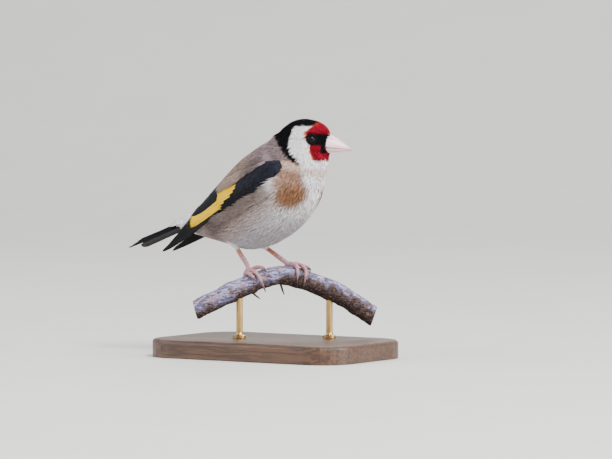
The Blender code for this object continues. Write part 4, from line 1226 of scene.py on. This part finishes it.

# %% [markdown]
# Bark is a pale weathered skin that has rubbed off in places, over darker wood, and it is painted
# darker towards the underside as shade. Ridges run along the branch, the cracks between them are
# darkened as painted shade, and brown crumbs sit on top. The cut ends show rings.

# %% Finish of the bark
paper = Paper("bark", roughness=0.85)
inner, topside, distance = split(paper.attribute("bark", "Vector"))
level = swung(paper.place(), -PERCH_TURN)
ridges = paper.noise(stretch(level, 0.25, 1.1, 1.1), 0.8, 6.0, 0.65)
blotch = paper.noise(level, 0.22, 4.0, 0.6)
specks = paper.noise(level, 1.15, 4.0, 0.72)
pale = mix(soft(ridges, 0.32, 0.66), ink(84, 78, 106), ink(176, 174, 214))
warm = mix(specks, ink(106, 80, 82), ink(176, 142, 148))
pale = mix(soft(blotch + (ridges - 0.5) * 0.5, 0.48, 0.60) * 0.75, pale, warm)
rubbed = mix(soft(specks, 0.3, 0.7), ink(28, 20, 21), ink(104, 78, 70))
# darker towards the underside and further along: the pale bark is rubbed off there, and lowest is painted
# shade
rubbed_and_shade = 0 - topside - 0.5 + soft(distance, 1, 10) * 1.0
rubbed_and_shade = rubbed_and_shade + (ridges - 0.5) * 1.5 + (blotch - 0.5) * 2.2
bark = mix(soft(rubbed_and_shade + (specks - 0.5) * 0.6, -0.3, 0.2), pale, rubbed)
# near-black painted shade on the underside, and dark bark further along the branch
dark = mix(soft(specks, 0.34, 0.72), ink(6, 5, 6), ink(94, 70, 62))
bark = mix(soft(rubbed_and_shade + (specks - 0.5) * 0.9, 0.05, 0.5), bark, dark)
# the cracks between the ridges are darkened as painted shade
shaded_cracks = 1 - soft(abs(ridges - 0.46), 0.0, 0.035)
bark = mix(shaded_cracks * soft(blotch, 0.35, 0.6) * 0.9, bark, ink(24, 19, 23))
crumbs = paper.noise(level, 0.8, 2.0, 0.5)
bark = mix(soft(crumbs, 0.62, 0.68) * 0.7, bark, ink(150, 104, 80))
bark = shade(bark, 0.3 + specks * 1.4)
rings = (inner * 26 + blotch * 5).sine()
wood = mix(rings * 0.5 + 0.5, ink(176, 146, 108), ink(206, 180, 140))
wood = mix(soft(inner, 0.86, 0.97), wood, ink(70, 50, 40))
bark = mix(soft(inner, 0.97, 1.0), wood, bark)
perch = lattice("bark", 120, 360, perch_place, roll=True, bark=perch_note)
dress(perch, paper.finish(bark, height=ridges + specks * 0.5 - shaded_cracks * 0.4, depth=0.8), "bark", "perch")
print("perch", len(perch.data.polygons), "faces")

# %% [markdown]
# Legs and toes are tubes along smooth lines, with a row of overlapping scutes down the front and soft
# pads beneath the joints. The toes are laid on the perch by its own frame, and each ends in a claw
# that curves round the branch.

# %% Legs, toes and claws
# radius of the shank, radius of a toe, and how far a toe's pads stand it off the bark
TARSUS, TOE, GAP = 0.8, 0.78, 0.3
# hip and ankle as x, y and z, and the foot as distance along the perch and angle
# toes: foot, three joints, and the claw's tip, each as (distance along the perch, angle, extra height)
LEGS = {
    "right": {
        "hip": (-19.2, -6.3, 52.5), "ankle": (-11.3, -5.3, 40.8), "foot": (-9.0, 5.0),
        "inner": ((-9, 5, 0), (-8.3, 28, 0.2), (-7.4, 50, 0), (-6.7, 68, 0), (-6.1, 94, 0.2)),
        "middle": ((-9, 5, 0), (-6.5, 24, 0.5), (-4.9, 60, 0.2), (-4.3, 98, 0.2), (-3.8, 138, 2.4)),
        "outer": ((-9, 5, 0), (-5.7, -4, 0.6), (-3, 8, 0.3), (-1.5, 34, 0), (-0.9, 64, 0.3)),
        "hind": ((-9, 5, 0), (-10, -46, 0), (-10.6, -92, 0), (-10.4, -134, 0.1), (-7.4, -172, 3.0)),
    },
    "left": {
        "hip": (-11.6, 4.4, 51.0), "ankle": (3.4, 5.0, 42.0), "foot": (8.4, -5.0),
        "inner": ((8.4, -5, 0), (10, 18, 0.2), (11.2, 44, 0.1), (11.9, 70, 0), (12.5, 110, 1.2)),
        "middle": ((8.4, -5, 0), (11.8, 6, 0.4), (14.1, 36, 0.2), (15.2, 72, 0), (15.9, 118, 1.0)),
        "outer": ((8.4, -5, 0), (11.7, -16, 0.3), (14, -12, 0.2), (15.6, 8, 0), (16.3, 38, 0.3)),
        "hind": ((8.4, -5, 0), (6.4, -44, 0), (4.8, -92, 0), (4.1, -138, 0.1), (7, -177, 3.4)),
    },
}
TOES = ("inner", "middle", "outer", "hind")


def tube(name, points, fronts, radius, across, along):
    """A round limb through the points. fronts are the ways its front faces, radius(v, cosine) its size."""
    points, fronts = np.array(points, float), np.array(fronts, float)
    last = len(points) - 1

    def place(u, v):
        s = v * last
        ahead = unit(through(points, np.minimum(s + 0.02, last)) - through(points, np.maximum(s - 0.02, 0)))
        sideways = unit(np.cross(ahead, through(fronts, s)))
        front = np.cross(sideways, ahead)
        cosine, sine = np.cos(u * 2 * math.pi), np.sin(u * 2 * math.pi)
        ring = front * cosine[:, None] + sideways * sine[:, None]
        return through(points, s) + ring * radius(v, cosine)[:, None]

    def note(u, v):
        return v, np.cos(u * 2 * math.pi), last

    return lattice(name, across, along, place, roll=True, limb=note)


def scuted(start, end, count, pads):
    """A radius that narrows, steps at each scute on the front and swells at each pad beneath."""
    def radius(v, c):
        step = (v * count) % 1.0
        rim = np.where(c > 0.1, 0.09 * (1 - step) ** 2, 0.0)
        pad = (0.2 + 0.14 * (c < 0) * -c) * np.cos(math.pi * (v * pads % 1 - 0.5)) ** 2
        tip = np.sqrt(np.clip(1 - ((v - 0.95) / 0.05).clip(0, 1) ** 2, 0.02, 1))
        return (start + (end - start) * v) * (1 + rim + pad) * tip

    return radius


def leg(side, plan):
    """The shank and four toes as one piece, and the claws as separate pieces."""
    hip, ankle = np.array(plan["hip"]), np.array(plan["ankle"])
    foot = on_perch(np.array(plan["foot"][0]), plan["foot"][1], np.array(TOE + GAP))
    line = [hip, (hip + ankle) / 2, ankle, foot]
    pieces = [tube("shank", line, [(1, 0, 0.6)] * 4, scuted(TARSUS * 1.15, TARSUS, 11, 1), 24, 110)]
    pieces.append(ball("heel", foot + (0, 0, 0.1), TARSUS * 1.25))
    for toe in TOES:
        rows = np.array(plan[toe], float)
        points = on_perch(rows[:, 0], rows[:, 1], TOE + GAP * 0.5 + rows[:, 2])
        out = perch_out(rows[:, 0], rows[:, 1])
        pieces.append(tube("toe", points[:4], out[:4], scuted(TOE * 1.12, TOE * 0.82, 12, 3), 20, 90))
        ahead = unit(points[3] - points[2])
        start = points[3] + ahead * (-0.4)
        bend = points[4] - (points[4] - start) * 0.45 + out[3] * 0.45
        claw = tube(
            "claw", [start, bend, points[4]], [out[3], out[3], out[4]],
            lambda v, c: 0.58 * (1 - v) ** 0.7 + 0.06, 16, 30,
        )
        claw.name = claw.data.name = f"claw_horn_{side}_{toe}"
        dress(claw, claw_material, "claw", f"claw_{side}_{toe}")
    return dress(joined(f"leg_skin_{side}", pieces), leg_material, "leg_skin", f"leg_{side}")


print("toes", len(LEGS) * len(TOES))

# %% [markdown]
# The skin of the legs is pink, greyer low down, with a darker line at each scute and paler pads. The
# claws are horn that darkens to the tip.

# %% Finish of the legs and claws
paper = Paper("leg_scales", roughness=0.5, Subsurface_Weight=0.08, Subsurface_Scale=0.0008)
along, front, _ = split(paper.attribute("limb", "Vector"))
mottle = paper.noise(paper.place(), 1.6, 4.0, 0.6)
grainy = paper.noise(paper.place(), 6.0, 2.0)
step = (along * 12).part()
low = 1 - soft(split(paper.place())[2], 43.5, 47.5)
flesh = mix(mottle, ink(158, 78, 60), ink(204, 130, 112))
flesh = mix(low, flesh, mix(mottle, ink(136, 88, 92), ink(196, 150, 156)))
scute = (1 - soft(step, 0.0, 0.25)) * soft(front, -0.1, 0.3)
flesh = mix(scute * 0.75, flesh, ink(92, 52, 52))
flesh = mix(soft(0 - front, 0.1, 0.9) * 0.4, flesh, ink(226, 186, 184))
leg_material = paper.finish(flesh, roughness=0.42 + mottle * 0.2, height=mottle + grainy * 0.5, depth=0.1)
paper = Paper("claw_horn", roughness=0.35)
along = split(paper.attribute("limb", "Vector"))[0]
streaks = paper.noise(paper.place(), 2.5, 3.0)
horn = mix(soft(along + (streaks - 0.5) * 0.3, 0.0, 0.8), ink(130, 94, 92), ink(56, 42, 42))
claw_material = paper.finish(horn, roughness=0.3 + streaks * 0.15, height=streaks, depth=0.03)
for side, plan in LEGS.items():
    made = leg(side, plan)
    print(made.name, len(made.data.polygons), "faces")

# %% [markdown]
# Where the legs leave the belly they wear short white trousers: a tuft of locks down the upper shank.

# %% Thigh tufts
TUFT = 620


def trousers(side, plan):
    dice = np.random.default_rng(80)
    hip, ankle = np.array(plan["hip"]), np.array(plan["ankle"])
    ahead = unit(ankle - hip)
    across = unit(np.cross(ahead, UPWARDS))
    angle = dice.uniform(0, 2 * math.pi, TUFT)
    out = across * np.cos(angle)[:, None] + np.cross(across, ahead) * np.sin(angle)[:, None]
    start, length = dice.uniform(-3.0, 3.2, TUFT), dice.uniform(1.8, 3.4, TUFT)

    def place(run, share):
        girth = 0.85 + 1.9 * (1 - ease(run, -3.0, 5.6)) + 0.2 * share
        return hip + ahead * run[:, None] + out * girth[:, None]

    root = np.stack([angle / (2 * math.pi), (start + 3) / 5], -1)
    wide, pale_spot = dice.uniform(0.25, 0.45, TUFT), (12.0, 2.0, 76.0)
    line = rows_of(place, start, length)
    return locks(f"trousers_{side}", "body_feathers", line, out, wide, pale_spot, root, dice)


for side, plan in LEGS.items():
    print(trousers(side, plan).name, TUFT)

# %% [markdown]
# The stand keeps its solid shapes and only gets its finishes: an oiled walnut base and brushed brass.

# %% Stand
paper = Paper("walnut", roughness=0.42, Coat_Weight=0.15, Coat_Roughness=0.3)
place = paper.place()
growth = paper.noise(stretch(place, 0.05, 0.9, 0.9), 0.35, 5.0, 0.6)
pores = paper.noise(stretch(place, 0.12, 3.0, 3.0), 1.2, 3.0, 0.7)
stripe = (growth * 34).sine() * 0.5 + 0.5
grain = mix(stripe * 0.7 + pores * 0.3, ink(52, 33, 23), ink(98, 66, 44))
grain = mix(soft(pores, 0.60, 0.68) * 0.6, grain, ink(34, 22, 16))
walnut = paper.finish(grain, roughness=0.36 + pores * 0.2, height=pores, depth=0.08)
paper = Paper("brass", roughness=0.3, Metallic=1.0)
brushed = paper.noise(stretch(paper.place(), 2.0, 2.0, 0.15), 2.0, 3.0)
tarnish = paper.noise(paper.place(), 0.15, 4.0)
metal = mix(tarnish, ink(214, 178, 112), ink(176, 136, 78))
brass = paper.finish(metal, roughness=0.2 + brushed * 0.22, height=brushed, depth=0.01)
for node, material in (("stand_base", walnut), ("stand_rod_1", brass), ("stand_rod_2", brass)):
    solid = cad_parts[node]
    solid.data.materials.clear()
    solid.data.materials.append(material)

# %% [markdown]
# The floor is one pale sheet that runs back from under the camera and curves up a metre behind the
# bird, as a paper roll does in a photo studio, so no horizon shows. Its floor part ends a little over
# a metre back, where a quarter of a circle with a radius of one metre leads into the upright part.

# %% Floor and backdrop
FLAT_END, SWEEP_LENGTH, SWEEP_START, HALF_WIDTH = 1.2, 6.4, -2.4, 4
BELOW_BASE = 0.2 * MM


def stage_sweep():
    bm = bmesh.new()
    bmesh.ops.create_grid(bm, x_segments=1, y_segments=40, size=1.0)
    behind = -Vector((TO_CAMERA.x, TO_CAMERA.y, 0)).normalized()
    for vert in bm.verts:
        run = (vert.co.y + 1) * SWEEP_LENGTH / 2 + SWEEP_START
        rise = 0.0
        if run > FLAT_END:
            angle = min(run - FLAT_END, math.pi / 2)
            rise = 1 - math.cos(angle) + max(0.0, run - FLAT_END - math.pi / 2)
            run = FLAT_END + math.sin(angle)
        vert.co = IMAGE_RIGHT * vert.co.x * HALF_WIDTH + behind * run + Vector((0, 0, rise - BELOW_BASE))
    bmesh.ops.recalc_face_normals(bm, faces=bm.faces)
    if sum(f.normal.z for f in bm.faces) < 0:
        bmesh.ops.reverse_faces(bm, faces=bm.faces)
    return piece_of("floor", bm)


paper = Paper("pale_floor", roughness=0.9)
mottle = paper.noise(paper.place(), 0.02, 3.0)
floor = stage_sweep()
floor.data.materials.append(paper.finish(mix(mottle, ink(214, 212, 206), ink(222, 220, 215))))
print("floor", [round(v, 1) for v in floor.dimensions], "m")

# %% [markdown]
# Four large soft lamps and a faint blue sky stand for the light of an overcast day. The key lamp is
# high on the camera's right, and the others lighten the shadows, the breast and the back.

# %% Light
# name, place in metres, size and watts
LAMPS = (
    ("key", (1.1, -0.6, 1.45), 0.8, 60.0),
    ("fill", (-1.2, -0.9, 0.8), 1.2, 18.0),
    ("front", (1.6, 0.3, 0.5), 0.8, 24.0),
    ("back", (-0.4, 1.3, 1.4), 1.0, 14.0),
)
BIRD_MIDDLE = Vector((0, 0, 0.07))
for name, place, size, power in LAMPS:
    lamp = bpy.data.lights.new(name, "AREA")
    lamp.size, lamp.energy = size, power
    holder = shown(name, lamp)
    holder.location = place
    holder.rotation_euler = (Vector(place) - BIRD_MIDDLE).to_track_quat("Z", "Y").to_euler()
    print(name, power, "W")
world = bpy.data.worlds.new("daylight")
world.use_nodes = True
sky = world.node_tree.nodes["Background"].inputs
sky["Color"].default_value, sky["Strength"].default_value = (0.82, 0.88, 1.0, 1), 0.55
bpy.context.scene.world = world
